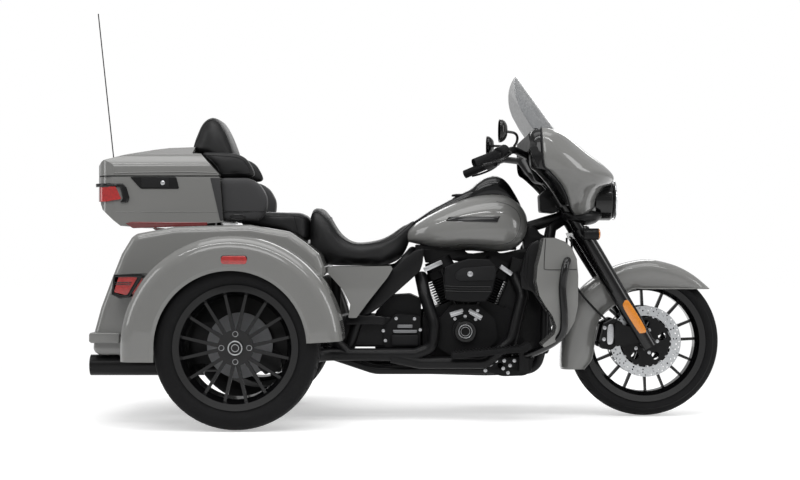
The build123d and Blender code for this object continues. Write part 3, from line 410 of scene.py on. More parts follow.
def ring(centre, radius, count=48, start=0.0):
    """A circle of points (X, Z)."""
    turn = np.linspace(0, 2 * math.pi, count, endpoint=False) + start
    return np.stack([centre[0] + radius * np.cos(turn), centre[1] + radius * np.sin(turn)], 1)


def cut_plate(loops, low, high, edge=0.8):
    """A flat plate between two Y values with round edges; the first loop (X, Z) is its rim, the others holes."""
    low, high = sorted((low, high))
    curve = bpy.data.curves.new("cut_plate", "CURVE")
    curve.dimensions, curve.fill_mode = "2D", "BOTH"
    curve.extrude, curve.bevel_depth, curve.bevel_resolution = (high - low) / 2 - edge, edge, 1
    curve.offset = -edge
    for loop in loops:
        spline = curve.splines.new("POLY")
        spline.points.add(len(loop) - 1)
        spline.points.foreach_set(
            "co", np.c_[np.asarray(loop, float), np.zeros(len(loop)), np.ones(len(loop))].ravel(),
        )
        spline.use_cyclic_u = True
    holder = bpy.data.objects.new("cut_plate", curve)
    mesh = bpy.data.meshes.new_from_object(holder)
    points = np.array([v.co for v in mesh.vertices]).reshape(-1, 3)
    faces = [list(p.vertices) for p in mesh.polygons]
    bpy.data.objects.remove(holder)
    bpy.data.curves.remove(curve)
    bpy.data.meshes.remove(mesh)
    return np.stack([points[:, 0], (low + high) / 2 - points[:, 2], points[:, 1]], 1), faces


def both_plates(loops, inner, outer, edge=0.8):
    """The same flat plate on the right and on the left, between two distances from the middle."""
    return [cut_plate(loops, side * inner, side * outer, edge) for side in (-1, 1)]


def turned_shell(profile, centre, axis="Y", sides=40):
    """A profile of (distance along the axis, radius) turned about an axis through the centre."""
    profile = np.asarray(profile, float)
    turn = np.linspace(0, 2 * math.pi, sides, endpoint=False)[None, :]
    along, reach = profile[:, :1] + 0 * turn, profile[:, 1:]
    a, b = reach * np.cos(turn), reach * np.sin(turn)
    order = {"X": (along, a, b), "Y": (a, along, b), "Z": (a, b, along)}[axis]
    return grid_shell(np.stack(order, -1) + np.asarray(centre, float), wrap_columns=True)


def bolt_shell(x, y, z, radius, side, axis="Y"):
    """A domed bolt head standing out of a surface."""
    height = radius * 0.7 * side
    return turned_shell(
        [
            (0, radius * 1.25), (0.25 * height, radius * 1.25), (0.25 * height, radius), (0.9 * height, radius * 0.9),
            (height, radius * 0.55), (0.6 * height, radius * 0.45), (0.6 * height, 0.01),
        ],
        (x, y, z), axis, 12,
    )


rotors, carriers, buttons = [], [], []
axle = (FRONT_AXLE[0], FRONT_AXLE[2])
ROTOR_INNER, ROTOR_OUTER = 66.0, 72.0
drilled = [
    ring(spot, 3.4, 8)
    for reach, count, shift in ((143, 36, 0), (131, 36, 0.5), (119, 18, 0.25))
    for spot in ring(axle, reach, count, shift * 2 * math.pi / count)
]
wave = np.linspace(0, 2 * math.pi, 160, endpoint=False)
rim = 108.2 + 7 * np.clip(np.cos(10 * wave), -1, 0)
spider = np.stack([axle[0] + rim * np.cos(wave), axle[1] + rim * np.sin(wave)], 1)
windows = [ring(spot, 17, 20) for spot in ring(axle, 74, 5, 0.3)]
for side in (-1, 1):
    inner, outer = side * ROTOR_INNER, side * ROTOR_OUTER
    rotors.append(cut_plate([ring(axle, 150, 120), ring(axle, 109, 96)] + drilled, inner, outer, 0.6))
    carriers.append(cut_plate([spider, ring(axle, 30)] + windows, inner, outer, 0.8))
    for reach, count, radius in ((108, 10, 4.5), (50, 5, 6)):
        buttons += [bolt_shell(x, outer, z, radius, side) for x, z in ring(axle, reach, count)]
piece("front_rotors", rotors, disc_steel, "front_wheel", replaced=("front_discs",), smooth=False)
piece("front_rotor_carriers", carriers, satin_black, "front_wheel", smooth=False)
piece("front_rotor_buttons", buttons, bare_alloy, "front_wheel")


# Fork dressing: amber reflectors on the legs, brake lines in black sleeve, and
# the bright caliper inserts with their bolts.

def rod_shell(points, radius, sides=12, count=None, smoothed=True):
    """A round bar along a smooth path; each ring is carried on from the last without twisting."""
    path = smooth_line(points, count or 8 * len(points)) if smoothed else np.asarray(points, float)
    tangent = np.gradient(path, axis=0)
    tangent /= np.linalg.norm(tangent, axis=1)[:, None]
    across = np.cross(tangent[0], (0, 0, 1) if abs(tangent[0][2]) < 0.9 else (1, 0, 0))
    rings, radius = [], np.broadcast_to(radius, len(path))
    turn = np.linspace(0, 2 * math.pi, sides, endpoint=False)
    for spot, ahead, size in zip(path, tangent, radius):
        across = across - ahead * across.dot(ahead)
        across /= np.linalg.norm(across)
        up = np.cross(ahead, across)
        rings.append(spot + size * (np.cos(turn)[:, None] * across + np.sin(turn)[:, None] * up))
    return grid_shell(np.array(rings), wrap_columns=True, capped=True)


def both_rods(points, *size):
    """The same bar on the right and on the left; its points are given for the left."""
    return [rod_shell([(x, side * y, z) for x, y, z in points], *size) for side in (-1, 1)]


FORK_RAKE = math.radians(31.0)


def fork_x(height):
    """The fork leg's centre line: its X at a height."""
    return FRONT_AXLE[0] - (height - FRONT_AXLE[2]) * math.tan(FORK_RAKE)


lens = smooth_line(
    [
        (fork_x(z) + dx, z + dz)
        for z, dx, dz in ((485, -4, 3), (480, 15, 10), (370, 18, 6), (364, 0, -5), (374, -12, -8), (470, -13, -9))
    ],
    40, closed=True,
)
insert = smooth_line(
    [(848, 318), (858, 308), (872, 316), (878, 350), (874, 388), (862, 394), (850, 380)], 40, closed=True,
)
pipe = [(700, 96, 760), (700, 104, 690), (704, 100, 600), (735, 96, 530), (800, 100, 455), (850, 104, 408)]
caliper_bolts = [
    bolt_shell(x, side * 110.0, z, 6.5, side)
    for side in (-1, 1)
    for x, z in ((835, 330), (895, 330), (838, 378), (893, 388))
]
piece("fork_reflectors", both_plates([lens], 150.0, 158.5, 2.0), amber_lens, "steering", slot="")
piece("brake_lines", both_rods(pipe, 4.5), moulded_black, "steering", slot="")
piece("caliper_inserts", both_plates([insert], 108.0, 115.0, 1.5), bare_alloy, "steering")
piece("caliper_bolts", caliper_bolts, bare_alloy, "steering")


# Front fender: one pressed steel skin with a deep rear skirt, a round crown
# and a rolled lower edge, painted grey.

FENDER_HALF = 83.5
CROWN_HEIGHT = 46.0
fender_rows = np.array([
    # crown X, Z, edge X, Z
    (660, 200, 752, 201), (661, 260, 786, 248), (668, 335, 799, 335), (686, 415, 809, 395),
    (712, 487, 838, 438), (752, 545, 884, 474), (808, 591, 928, 518), (872, 629, 962, 543),
    (950, 655, 1005, 543), (1040, 666, 1055, 543), (1145, 643, 1135, 543), (1222, 604, 1212, 543),
    (1288, 551, 1284, 544),
])
rows = smooth_line(fender_rows, 90)
bow = np.linspace(0, math.pi / 2, 14)
drop = np.r_[CROWN_HEIGHT * (1 - np.cos(bow) ** 0.8), CROWN_HEIGHT]
reach = np.r_[np.sin(bow) ** 0.72 * FENDER_HALF, FENDER_HALF]
gap = np.hypot(rows[:, 0] - rows[:, 2], rows[:, 1] - rows[:, 3])[:, None]
share = np.minimum(drop[None, :] / np.maximum(gap, 1), 1)
share[:, -1] = 1
crown_half = np.stack([
    rows[:, :1] + (rows[:, 2:3] - rows[:, :1]) * share,
    -reach[None, :] + 0 * share,
    rows[:, 1:2] + (rows[:, 3:4] - rows[:, 1:2]) * share,
], -1)
other_half = crown_half[:, ::-1] * np.array([1, -1, 1])
piece(
    "front_fender_skin", [grid_shell(np.concatenate([other_half, crown_half[:, 1:]], 1))], grey_paint, "steering",
    thickness=3.0, replaced=("front_fender",),
)
edges = [rod_shell(line, 2.6, 8, 120) for line in (crown_half[:, -1], crown_half[:, -1] * np.array([1, -1, 1]))]
piece("front_fender_edge", edges, grey_paint, "steering")


# Fairing: a moulded shell on the fork, painted grey. Its plan runs from a
# round nose back to wings whose edges turn straight to the rear.

def through(table, count):
    """Rows between the rows of a table, evenly by row, on one smooth curve per column."""
    table = np.asarray(table, float)
    around = np.vstack([2 * table[:1] - table[1:2], table, 2 * table[-1:] - table[-2:-1]])
    at = np.linspace(0, len(table) - 1, count)
    k = np.minimum(at.astype(int), len(table) - 2)
    t = (at - k)[:, None]
    a, b, c, d = around[k], around[k + 1], around[k + 2], around[k + 3]
    return b + 0.5 * t * (c - a + t * (2 * a - 5 * b + 4 * c - d + t * (3 * (b - c) + d - a)))


fairing_rows = through([
    # centre X, Z, wing edge X, Y, Z
    (672, 1180, 552, 318, 1207), (702, 1166, 550, 362, 1176), (775, 1112, 552, 383, 1100),
    (846, 1060, 560, 380, 1045),
    (884, 1018, 586, 366, 1022), (874, 986, 630, 330, 976), (838, 968, 660, 286, 930), (812, 930, 679, 240, 884),
    (802, 886, 698, 196, 858), (775, 860, 706, 152, 848), (735, 850, 712, 118, 845),
], 90)
bow = np.linspace(0, math.pi / 2, 40)[None, :]
centre_x, centre_z, wing_x, wing_y, wing_z = (fairing_rows[:, k : k + 1] for k in range(5))
half = np.stack([
    wing_x + (centre_x - wing_x) * np.cos(bow) ** 0.80,
    -wing_y * np.sin(bow) ** 0.92,
    wing_z + (centre_z - wing_z) * np.cos(bow) ** 1.3,
], -1)
fairing_grid = np.concatenate([(half * np.array([1, -1, 1]))[:, ::-1], half[:, 1:]], 1)
piece(
    "fairing_shell", [grid_shell(fairing_grid)], grey_paint, "steering", thickness=4.0,
    replaced=("fairing_outer",),
)
ear = []
for side in (-1, 1):
    rim = half[2:62, -1] * np.array([1, -side, 1])
    roll = np.linspace(0, math.pi / 2, 14)[None, :, None]
    inward = np.array([-52.0, 0, 0]) * np.sin(roll) + np.array([0, -side * 46.0, 0]) * (1 - np.cos(roll))
    drawn = 1 - 0.5 * np.abs(np.linspace(-1, 1, 60))[:, None, None] ** 4
    ear.append(grid_shell(rim[:, None] + np.array([-1.0, -side * 2.0, 0]) + inward * drawn))
piece("fairing_ears", ear, gloss_black, "steering", thickness=3.0)
brow = rod_shell(fairing_grid[:, -1], 3.0, 8, 140), rod_shell(fairing_grid[:, 0], 3.0, 8, 140)
piece("fairing_edge_seal", brow, moulded_black, "steering")


# Windshield: smoked acrylic bent round one axis and leaning back, held by a
# black strip along its foot.

SHIELD_BEND = 330.0
shield_lean = math.atan2(192, 270)
across = np.linspace(-1, 1, 61)[None, :]
up_share = np.linspace(0, 1, 40)[:, None]
reach = 234.0 * across
turn = np.arcsin(reach / SHIELD_BEND)
back = SHIELD_BEND * (1 - np.cos(turn))
top_z = 1215 + 238 * (1 - np.abs(across * 0.999) ** 2.4) ** (1 / 2.4)
foot_z = 1172 + 34 * np.abs(across) ** 2
rise_top = (top_z - 1180 + math.sin(shield_lean) * back) / math.cos(shield_lean)
rise_foot = (foot_z - 1180 + math.sin(shield_lean) * back) / math.cos(shield_lean)
rise = rise_foot + (rise_top - rise_foot) * up_share
shield = np.stack([
    668 - math.sin(shield_lean) * rise - math.cos(shield_lean) * back,
    reach + 0 * rise,
    1180 + math.cos(shield_lean) * rise - math.sin(shield_lean) * back,
], -1)
smoked_screen.set("Alpha", 0.5)
piece(
    "windshield_screen", [grid_shell(shield)], smoked_screen, "steering", thickness=3.5,
    replaced=("windshield",),
)
strip = rod_shell(shield[1] + np.array([3, 0, 0]), 5.0, 8, 80)
piece("windshield_strip", [strip], moulded_black, "steering")


# Fuel tank: a pressed steel teardrop over the backbone, painted grey, with a
# fine coach line that follows its front and foot, and a plain black blade.

def hull_shell(rows, count=70, sides=56, power=(0.8, 0.85, 0.6), waist=0.42):
    """Closed hull: at each X the section is a superellipse between its foot and its top, widest at its waist."""
    table = through(rows, count)
    turn = np.linspace(0, 2 * math.pi, sides, endpoint=False)[None, :]
    x, foot, top, half = (table[:, k : k + 1] for k in range(4))
    middle = foot + waist * (top - foot)
    sine, cosine = np.sin(turn), np.cos(turn)
    z = np.where(
        sine > 0, middle + (top - middle) * np.abs(sine) ** power[1],
        middle - (middle - foot) * np.abs(sine) ** power[2],
    )
    y = half * np.sign(cosine) * np.abs(cosine) ** power[0]
    grid = np.stack([x + 0 * y, y, z], -1)
    return grid, grid_shell(grid, wrap_columns=True, capped=True)


tank_rows = [
    # X, foot Z, top Z, half width
    (0, 752, 768, 22), (6, 741, 788, 52), (28, 736, 810, 82), (60, 730, 834, 106), (110, 720, 864, 136),
    (200, 710, 908, 168),
    (290, 702, 937, 188), (355, 698, 946, 194), (415, 700, 943, 190), (457, 710, 925, 174), (490, 734, 896, 142),
    (511, 771, 862, 98),
    (518, 802, 832, 48),
]
tank = hull_shell(tank_rows)[1]
piece("tank_shell", [tank], grey_paint, replaced=("fuel_tank",))


def on_tank(x, z, side):
    """The tank's surface at this X and Z on one side, a hair outside."""
    row = through(tank_rows, 400)
    foot, top, half = (np.interp(x, row[:, 0], row[:, k]) for k in (1, 2, 3))
    middle = foot + 0.42 * (top - foot)
    lift = abs(z - middle) / ((top - middle) if z > middle else (middle - foot))
    angle = math.asin(min(lift, 1) ** (1 / (0.85 if z > middle else 0.6)))
    return x, side * (half * math.cos(angle) ** 0.8 + 0.3), z


coach = [
    (215, 724), (236, 730), (330, 727), (410, 730), (452, 752), (474, 792), (480, 832), (466, 868), (430, 896),
    (380, 910),
]
stripes = [rod_shell([on_tank(x, z, side) for x, z in smooth_line(coach, 40)], 0.9, 6, 160) for side in (-1, 1)]
piece("tank_coach_line", stripes, gloss_black)
blade_low, blade_high = smooth_line(
    [(168, 829), (250, 826), (380, 822)], 40,
), smooth_line([(180, 845), (250, 846), (392, 846)], 40)
blades = []
for side in (-1, 1):
    share = np.linspace(0, 1, 5)
    rows = [[on_tank(*(low * (1 - s) + high * s), side) for s in share] for low, high in zip(blade_low, blade_high)]
    blades.append(grid_shell(np.array(rows) + np.array([0, side * 1.6, 0])))
piece("tank_blade", blades, gloss_black, thickness=2.0)


# Tank console: a gloss black moulding along the tank's centre line, with the
# filler lid, and the dark gauge hump ahead of it.

console_rows = [
    (30, 808, 826, 14), (60, 800, 846, 26), (110, 820, 880, 38), (180, 860, 918, 46), (240, 880, 950, 50),
    (275, 890, 968, 56),
    (305, 900, 994, 64), (340, 905, 1016, 68), (382, 905, 1024, 68), (412, 900, 1014, 64), (438, 890, 990, 58),
    (462, 870, 954, 50),
    (484, 850, 915, 38), (497, 848, 884, 18),
]
piece(
    "console_moulding", [hull_shell(console_rows, 80, 40, (0.75, 0.7, 0.8), 0.5)[1]], gloss_black,
    replaced=("tank_console",),
)
filler = turned_shell([(0, 40), (6, 40), (9, 37), (9, 30), (11, 26), (12, 0.1)], (236, 0, 936), "Z", 40)
piece("filler_lid", [filler], satin_black)


# Seats and pads: foam under grained vinyl, pulled tight over the edges, with
# piped seams. The foam is blown out by cloth simulation before the seams go on.

def inflate(pad, voxel=6.0, cap=5.0, pressure=4.0):
    """Remeshes a pad, fills it with air by cloth simulation, holds each point within the cap, smooths it."""
    def apply(kind, **settings):
        modifier = pad.modifiers.new(kind, kind)
        for key, value in settings.items():
            setattr(modifier, key, value)
        shaped = bpy.data.meshes.new_from_object(pad.evaluated_get(bpy.context.evaluated_depsgraph_get()))
        pad.modifiers.clear()
        shaped.name, old = pad.data.name, pad.data
        pad.data = shaped
        bpy.data.meshes.remove(old)

    apply("REMESH", mode="VOXEL", voxel_size=voxel / 1000, use_smooth_shade=True)
    rest = np.empty(len(pad.data.vertices) * 3)
    pad.data.vertices.foreach_get("co", rest)
    cloth = pad.modifiers.new("cloth", "CLOTH")
    cloth.settings.use_pressure, cloth.settings.uniform_pressure_force = True, pressure
    cloth.settings.effector_weights.gravity = 0
    cloth.settings.quality = 4
    for step in range(1, 15):
        scene.frame_set(step)
    held = pad.evaluated_get(bpy.context.evaluated_depsgraph_get())
    moved = np.empty_like(rest)
    held.data.vertices.foreach_get("co", moved)
    pad.modifiers.clear()
    scene.frame_set(1)
    shift = (moved - rest).reshape(-1, 3)
    length = np.linalg.norm(shift, axis=1)[:, None] + 1e-9
    pad.data.vertices.foreach_set(
        "co", (rest.reshape(-1, 3) + shift * np.minimum(1, cap / 1000 / length)).ravel(),
    )
    apply("SMOOTH", iterations=6, factor=0.5)
    apply("SUBSURF", levels=1, render_levels=1)
    pad.data.polygons.foreach_set("use_smooth", np.ones(len(pad.data.polygons), bool))


def seam_on(pad, points, radius=2.4):
    """Piping laid on a pad: the path's points are moved to the nearest place on the pad."""
    path = smooth_line(points, 24 * len(points)) / 1000
    found = np.array([pad.closest_point_on_mesh(spot)[1] for spot in path.tolist()])
    return rod_shell(smooth_line(found * 1000, len(found)), radius, 8, smoothed=False)


def pillow_shell(profile, centre, half, power=3.0, rings=29, count=64):
    """A closed side outline swept across Y and drawn in towards its centre by a superellipse at both ends."""
    edge = smooth_line(profile, count, closed=True)
    share = np.sin(np.linspace(-0.97, 0.97, rings) * math.pi / 2)
    drawn = (1 - np.abs(share) ** power) ** (1 / power)
    flat = np.asarray(centre) + (edge[None] - np.asarray(centre)) * drawn[:, None, None]
    grid = np.stack([flat[..., 0], share[:, None] * half + 0 * flat[..., 0], flat[..., 1]], -1)
    return grid_shell(grid, wrap_columns=True, capped=True)


rider_rows = [
    # X, foot Z, top Z, half width
    (-400, 760, 790, 90), (-398, 700, 850, 128), (-388, 660, 884, 150), (-372, 652, 889, 158), (-350, 650, 876, 165),
    (-322, 648, 842, 170),
    (-300, 646, 803, 172), (-275, 645, 770, 172), (-240, 645, 744, 172), (-200, 645, 734, 172), (-150, 645, 738, 168),
    (-100, 645, 750, 152),
    (-60, 654, 770, 122), (-25, 676, 796, 86), (0, 716, 816, 58), (22, 778, 832, 40), (34, 812, 836, 24),
]
rider_grid, rider = hull_shell(rider_rows, 90, 64, (0.62, 0.62, 0.5), 0.52)
seat = piece("rider_seat", [rider], vinyl, replaced=("seat_rider",))
inflate(seat)
seams = [seam_on(seat, rider_grid[6:86:5, column]) for column in (8, 24)]
seams.append(seam_on(seat, [(-315, y, 850 - abs(y) * 0.05) for y in (-150, -110, -60, 0, 60, 110, 150)]))
piece("rider_seat_piping", seams, vinyl)

pad_side = [
    (-410, 745), (-408, 800), (-412, 842), (-440, 858), (-520, 861), (-610, 864), (-690, 868), (-698, 840),
    (-696, 812), (-640, 808), (-560, 800), (-480, 782), (-430, 752),
]
pillion = piece(
    "passenger_seat", [pillow_shell(pad_side, (-560, 822), 171, 5.0)], vinyl, replaced=("seat_passenger",),
)
inflate(pillion)
seams = [seam_on(pillion, [(x, side * 160, 850) for x in range(-690, -409, 35)]) for side in (-1, 1)]
seams += [
    seam_on(pillion, [(x, side * 165, z) for x, z in ((-470, 857), (-462, 830), (-452, 790), (-446, 768))])
    for side in (-1, 1)
]
piece("passenger_seat_piping", seams, vinyl)

back_side = [
    (-906, 1136), (-888, 1180), (-864, 1238), (-836, 1268), (-812, 1272), (-788, 1256), (-758, 1212), (-734, 1160),
    (-716, 1108), (-714, 1060), (-736, 1012), (-780, 1012), (-826, 1058), (-872, 1104),
]
rest = piece("passenger_backrest", [pillow_shell(back_side, (-800, 1130), 164, 3.2)], vinyl, replaced=("backrest",))
inflate(rest)
seams = [
    seam_on(
        rest,
        [
            (x, side * y, z)
            for x, y, z in (
                (-898, 100, 1135), (-878, 118, 1180), (-845, 112, 1235), (-812, 112, 1240), (-768, 122, 1185),
                (-735, 130, 1110),
            )
        ],
    )
    for side in (-1, 1)
]
piece("passenger_backrest_piping", seams, vinyl)

arm_side = [
    (-764, 1010), (-800, 1054), (-846, 1106), (-800, 1112), (-720, 1108), (-676, 1094), (-648, 1066), (-630, 1014),
    (-690, 1009),
]
arms = []
for side in (-1, 1):
    points, faces = pillow_shell(arm_side, (-722, 1056), 30, 4.0, 21)
    arms.append((points + np.array([0, side * 205, 0]), faces))
rests = piece("arm_rests", arms, vinyl, replaced=("arm_pads",))
inflate(rests, 5.0, 4.0)
seams = [
    seam_on(
        rests,
        [
            (x, side * 233, z)
            for x, z in (
                (-774, 1030), (-806, 1072), (-832, 1098), (-760, 1096), (-690, 1088), (-660, 1066), (-644, 1028),
                (-700, 1024), (-760, 1022),
            )
        ],
        2.0,
    )
    for side in (-1, 1)
]
piece("arm_rest_piping", seams, vinyl)


# Touring case dressing: a black latch plate let into each side, the lid's
# raised bead, a moulding line, red strips and dark surrounds for the lamps.

def surround(points, inner, outer, finish, name, edge=2.0, slot=None, holes=()):
    """A plate of this outline, on the right side and its mirror on the left."""
    return piece(name, both_plates([points, *holes], inner, outer, edge), finish, slot=slot)


def rounded(points, radius=6.0, count=6):
    """The outline's corners cut to short arcs."""
    given = np.asarray(points, float)
    before, after = np.roll(given, 1, 0) - given, np.roll(given, -1, 0) - given
    room = np.minimum(
        radius, 0.45 * np.minimum(np.linalg.norm(before, axis=1), np.linalg.norm(after, axis=1)),
    )[:, None]
    start = given + before / np.linalg.norm(before, axis=1)[:, None] * room
    end = given + after / np.linalg.norm(after, axis=1)[:, None] * room
    t = np.linspace(0, 1, count)[None, :, None]
    arcs = (1 - t) ** 2 * start[:, None] + 2 * t * (1 - t) * given[:, None] + t**2 * end[:, None]
    return arcs.reshape(-1, 2)


surround(
    rounded([(-1132, 1006), (-1088, 957), (-930, 957), (-942, 1006)], 8), 299.0, 303.0, satin_black, "latch_plate",
    edge=1.5,
)
surround(
    rounded([(-1085, 1000), (-1083, 962), (-972, 962), (-972, 1000)], 4), 302.0, 305.0, moulded_black, "latch_handle",
    edge=1.0,
)
locks = [
    turned_shell(
        [(0, 9), (side * 4, 9), (side * 5, 7), (side * 5, 3), (side * 3, 2.5), (side * 3, 0.1)],
        (-997, side * 303.5, 981), "Y", 24,
    )
    for side in (-1, 1)
]
piece("latch_locks", locks, bare_alloy)
surround(
    rounded([(-1150, 816), (-1120, 795), (-815, 806), (-815, 820), (-1120, 822)], 4), 299.5, 302.0, dark_red_lens,
    "case_side_reflectors", edge=1.0,
)


def band(plan, low, high):
    """A strip that stands upright along a plan line (X, Y) between two heights."""
    line = smooth_line(plan, 60)
    return grid_shell(np.stack([np.c_[line, np.full(60, z)] for z in (low, high)], 0))


visors = [
    band(
        [(-1160, side * 303), (-1205, side * 303), (-1246, side * 293), (-1272, side * 272), (-1280, side * 256)],
        965, 979,
    )
    for side in (-1, 1)
]
frames = rounded(
    [
        (-1186, 966), (-1184, 978), (-1160, 978), (-1146, 964), (-1133, 920), (-1139, 902), (-1172, 902),
        (-1160, 916), (-1172, 962),
    ],
    4,
)
surround(frames, 299.5, 307.5, gloss_black, "tail_lamp_frames")
piece("tail_lamp_visors", visors, gloss_black, thickness=6.0)
beads = both_rods([(-1195, 300.5, 1022), (-1100, 300.5, 1024), (-900, 300.5, 1026), (-775, 299.5, 1022)], 2.4, 8, 60)
piece("lid_beads", beads, grey_paint, "tour_lid")
creases = both_rods([(-1190, 299.4, 862), (-1000, 299.8, 862), (-762, 299.4, 862)], 1.4, 8, 60)
piece("case_mouldings", creases, grey_paint)
gasket = both_rods(
    [
        (-768, 297.5, 1009.5), (-1195, 297.5, 1009.5), (-1244, 281, 1009.5), (-1274, 202, 1009.5),
        (-1293, 90, 1009.5), (-1296, 0, 1009.5),
    ],
    1.8, 8, 160,
)
piece("lid_gasket", gasket, rubber)


# Speaker pods: matt black mouldings ahead of the case, split by a step line,
# with a gloss foot and an oval opening in it.

pod_side = [(-752, 826), (-600, 828), (-574, 872), (-572, 925), (-600, 976), (-642, 1003), (-766, 1003)]
pods = []
for side in (-1, 1):
    points, faces = pillow_shell(rounded(pod_side, 22, 4), (-672, 915), 49, 7.0, 25, 90)
    pods.append((points + np.array([0, side * 236, 0]), faces))
piece("speaker_pod_shells", pods, pod_black, replaced=("speaker_pods",))
surround(
    rounded([(-803, 1002), (-764, 1002), (-750, 828), (-762, 826)], 4), 299.0, 302.0, pod_black, "speaker_pod_cheeks",
    edge=1.0,
)
ovals = []
for side in (-1, 1):
    turn = np.linspace(0, 2 * math.pi, 40, endpoint=False)
    oval = np.stack([-692 + 28 * np.cos(turn), 841 + 8 * np.sin(turn)], 1)
    rim = np.stack([-692 + 33 * np.cos(turn), 841 + 12 * np.sin(turn)], 1)
    ovals.append(cut_plate([rim, oval], side * 283.0, side * 287.0, 1.0))
    ovals.append(rod_shell([(-756, side * 284.5, 864), (-680, side * 286, 864), (-582, side * 282, 864)], 1.6, 8, 60))
piece("speaker_pod_trim", ovals, gloss_black)


# Side markers: red lenses in gloss black beds on the outer faces of the rear
# fenders.

marker = rounded([(-715, 650), (-615, 650), (-615, 683), (-715, 683)], 15)
surround(
    rounded([(-718, 647), (-612, 647), (-612, 686), (-718, 686)], 18), 684.0, 691.5, gloss_black, "side_marker_beds",
)
surround(marker, 686.0, 694.4, red_lens, "side_markers")


# Black fillers round the frame: the strut covers that run from the tank to the
# side covers, the battery box, the cooler behind the lowers, the neck cover, the
# trays under the tank and the liners of the lowers.

surround(
    rounded(
        [
            (76, 714), (70, 650), (58, 616), (-22, 545), (-108, 468), (-152, 438), (-190, 420), (-176, 452),
            (-62, 622), (-12, 666), (38, 706),
        ],
        10,
    ),
    146, 172, satin_black, "strut_covers", edge=6.0,
)
battery = cut_plate(
    [rounded([(-330, 300), (-60, 300), (-60, 425), (-150, 432), (-240, 432), (-330, 420)], 12)], -140, 140, 5,
)
piece("battery_box", [battery], satin_black)
tray = cut_plate([rounded([(-250, 396), (-92, 396), (-86, 428), (-250, 436)], 6)], -190, -140, 3)
piece("battery_strap_tray", [tray], satin_black)
cooler_side = rounded(
    [(392, 262), (600, 268), (622, 330), (606, 430), (556, 560), (508, 660), (450, 680), (425, 560), (384, 470)], 10,
)
piece("cooler_core", [cut_plate([cooler_side], -96, 96, 4)], satin_black)
fins = [
    cut_plate(
        [
            [
                (610 - (z - 330) * 0.24 - 8, z), (622 - (z - 330) * 0.24, z), (622 - (z - 330) * 0.24, z + 2.2),
                (610 - (z - 330) * 0.24 - 8, z + 2.2),
            ]
        ],
        -94, 94, 0.4,
    )
    for z in range(340, 640, 9)
]
piece("cooler_fins", fins, frame_black)
neck = cut_plate(
    [
        rounded(
            [
                (512, 792), (520, 806), (540, 812), (556, 800), (572, 776), (598, 764), (598, 694), (505, 700),
                (500, 760),
            ],
            10,
        )
    ],
    -46, 46, 5,
)
neck_front = cut_plate(
    [rounded([(590, 762), (630, 764), (664, 742), (676, 722), (664, 702), (590, 690)], 10)], -26, 26, 4,
)
piece("neck_cover", [neck, neck_front], satin_black)
under_tank = [
    (70, 712), (84, 652), (150, 656), (196, 664), (232, 655), (332, 648), (388, 652), (430, 644), (482, 636),
    (556, 640), (556, 704), (500, 712), (420, 694), (398, 694), (380, 704), (288, 692), (262, 694), (250, 704),
]
piece("under_tank_tray", [cut_plate([rounded(under_tank, 5)], -60, 60, 3)], satin_black)
backbone = cut_plate([rounded([(40, 700), (470, 706), (470, 722), (300, 720), (40, 730)], 6)], -58, 58, 4)
piece("backbone_cover", [backbone], satin_black)
liner = rounded(
    [
        (552, 748), (516, 735), (484, 668), (472, 590), (476, 546), (520, 535), (556, 480), (580, 440), (592, 460),
        (594, 690), (576, 738),
    ],
    12,
)
surround(liner, 205, 243, satin_black, "lower_liners", edge=7.0)
vents = [
    rod_shell(
        [
            (488 + k * 6, side * 244, 700 - k * 4), (480 + k * 6, side * 244, 600 - k * 3),
            (492 + k * 6, side * 244, 556),
        ],
        1.2, 6, 30,
    )
    for side in (-1, 1)
    for k in (1, 3)
]
piece("lower_liner_lips", vents, frame_black)


# Engine guard: steel tube in gloss black, out of the frame above the lowers,
# down their outer faces and back in to the lower rails.

path = [
    (604, 120, 655), (640, 250, 668), (652, 380, 668), (640, 424, 640), (628, 424, 560), (634, 424, 440),
    (630, 415, 375), (600, 380, 335), (540, 290, 292), (480, 205, 262), (452, 165, 246),
]
piece("engine_guard_tubes", both_rods(path, 15.5, 20, 160), gloss_black, replaced=("engine_guard",))


# Lower fairings: the painted leg shields are the solids' own; the scene adds
# the parting line of the glove-box door.

doors = both_rods(
    [
        (562, 405.6, 752), (558, 405.6, 690), (556, 405.6, 640), (560, 405.6, 628), (600, 405.6, 626),
        (688, 405.6, 628),
    ],
    1.3, 8, 80,
)
piece("glove_door_seams", doors, gloss_black)


# Engine dressing: fins with machined edges, bright rocker and tappet bars,
# pushrod tubes, a ringed cam cover and the socket screws that hold the covers.

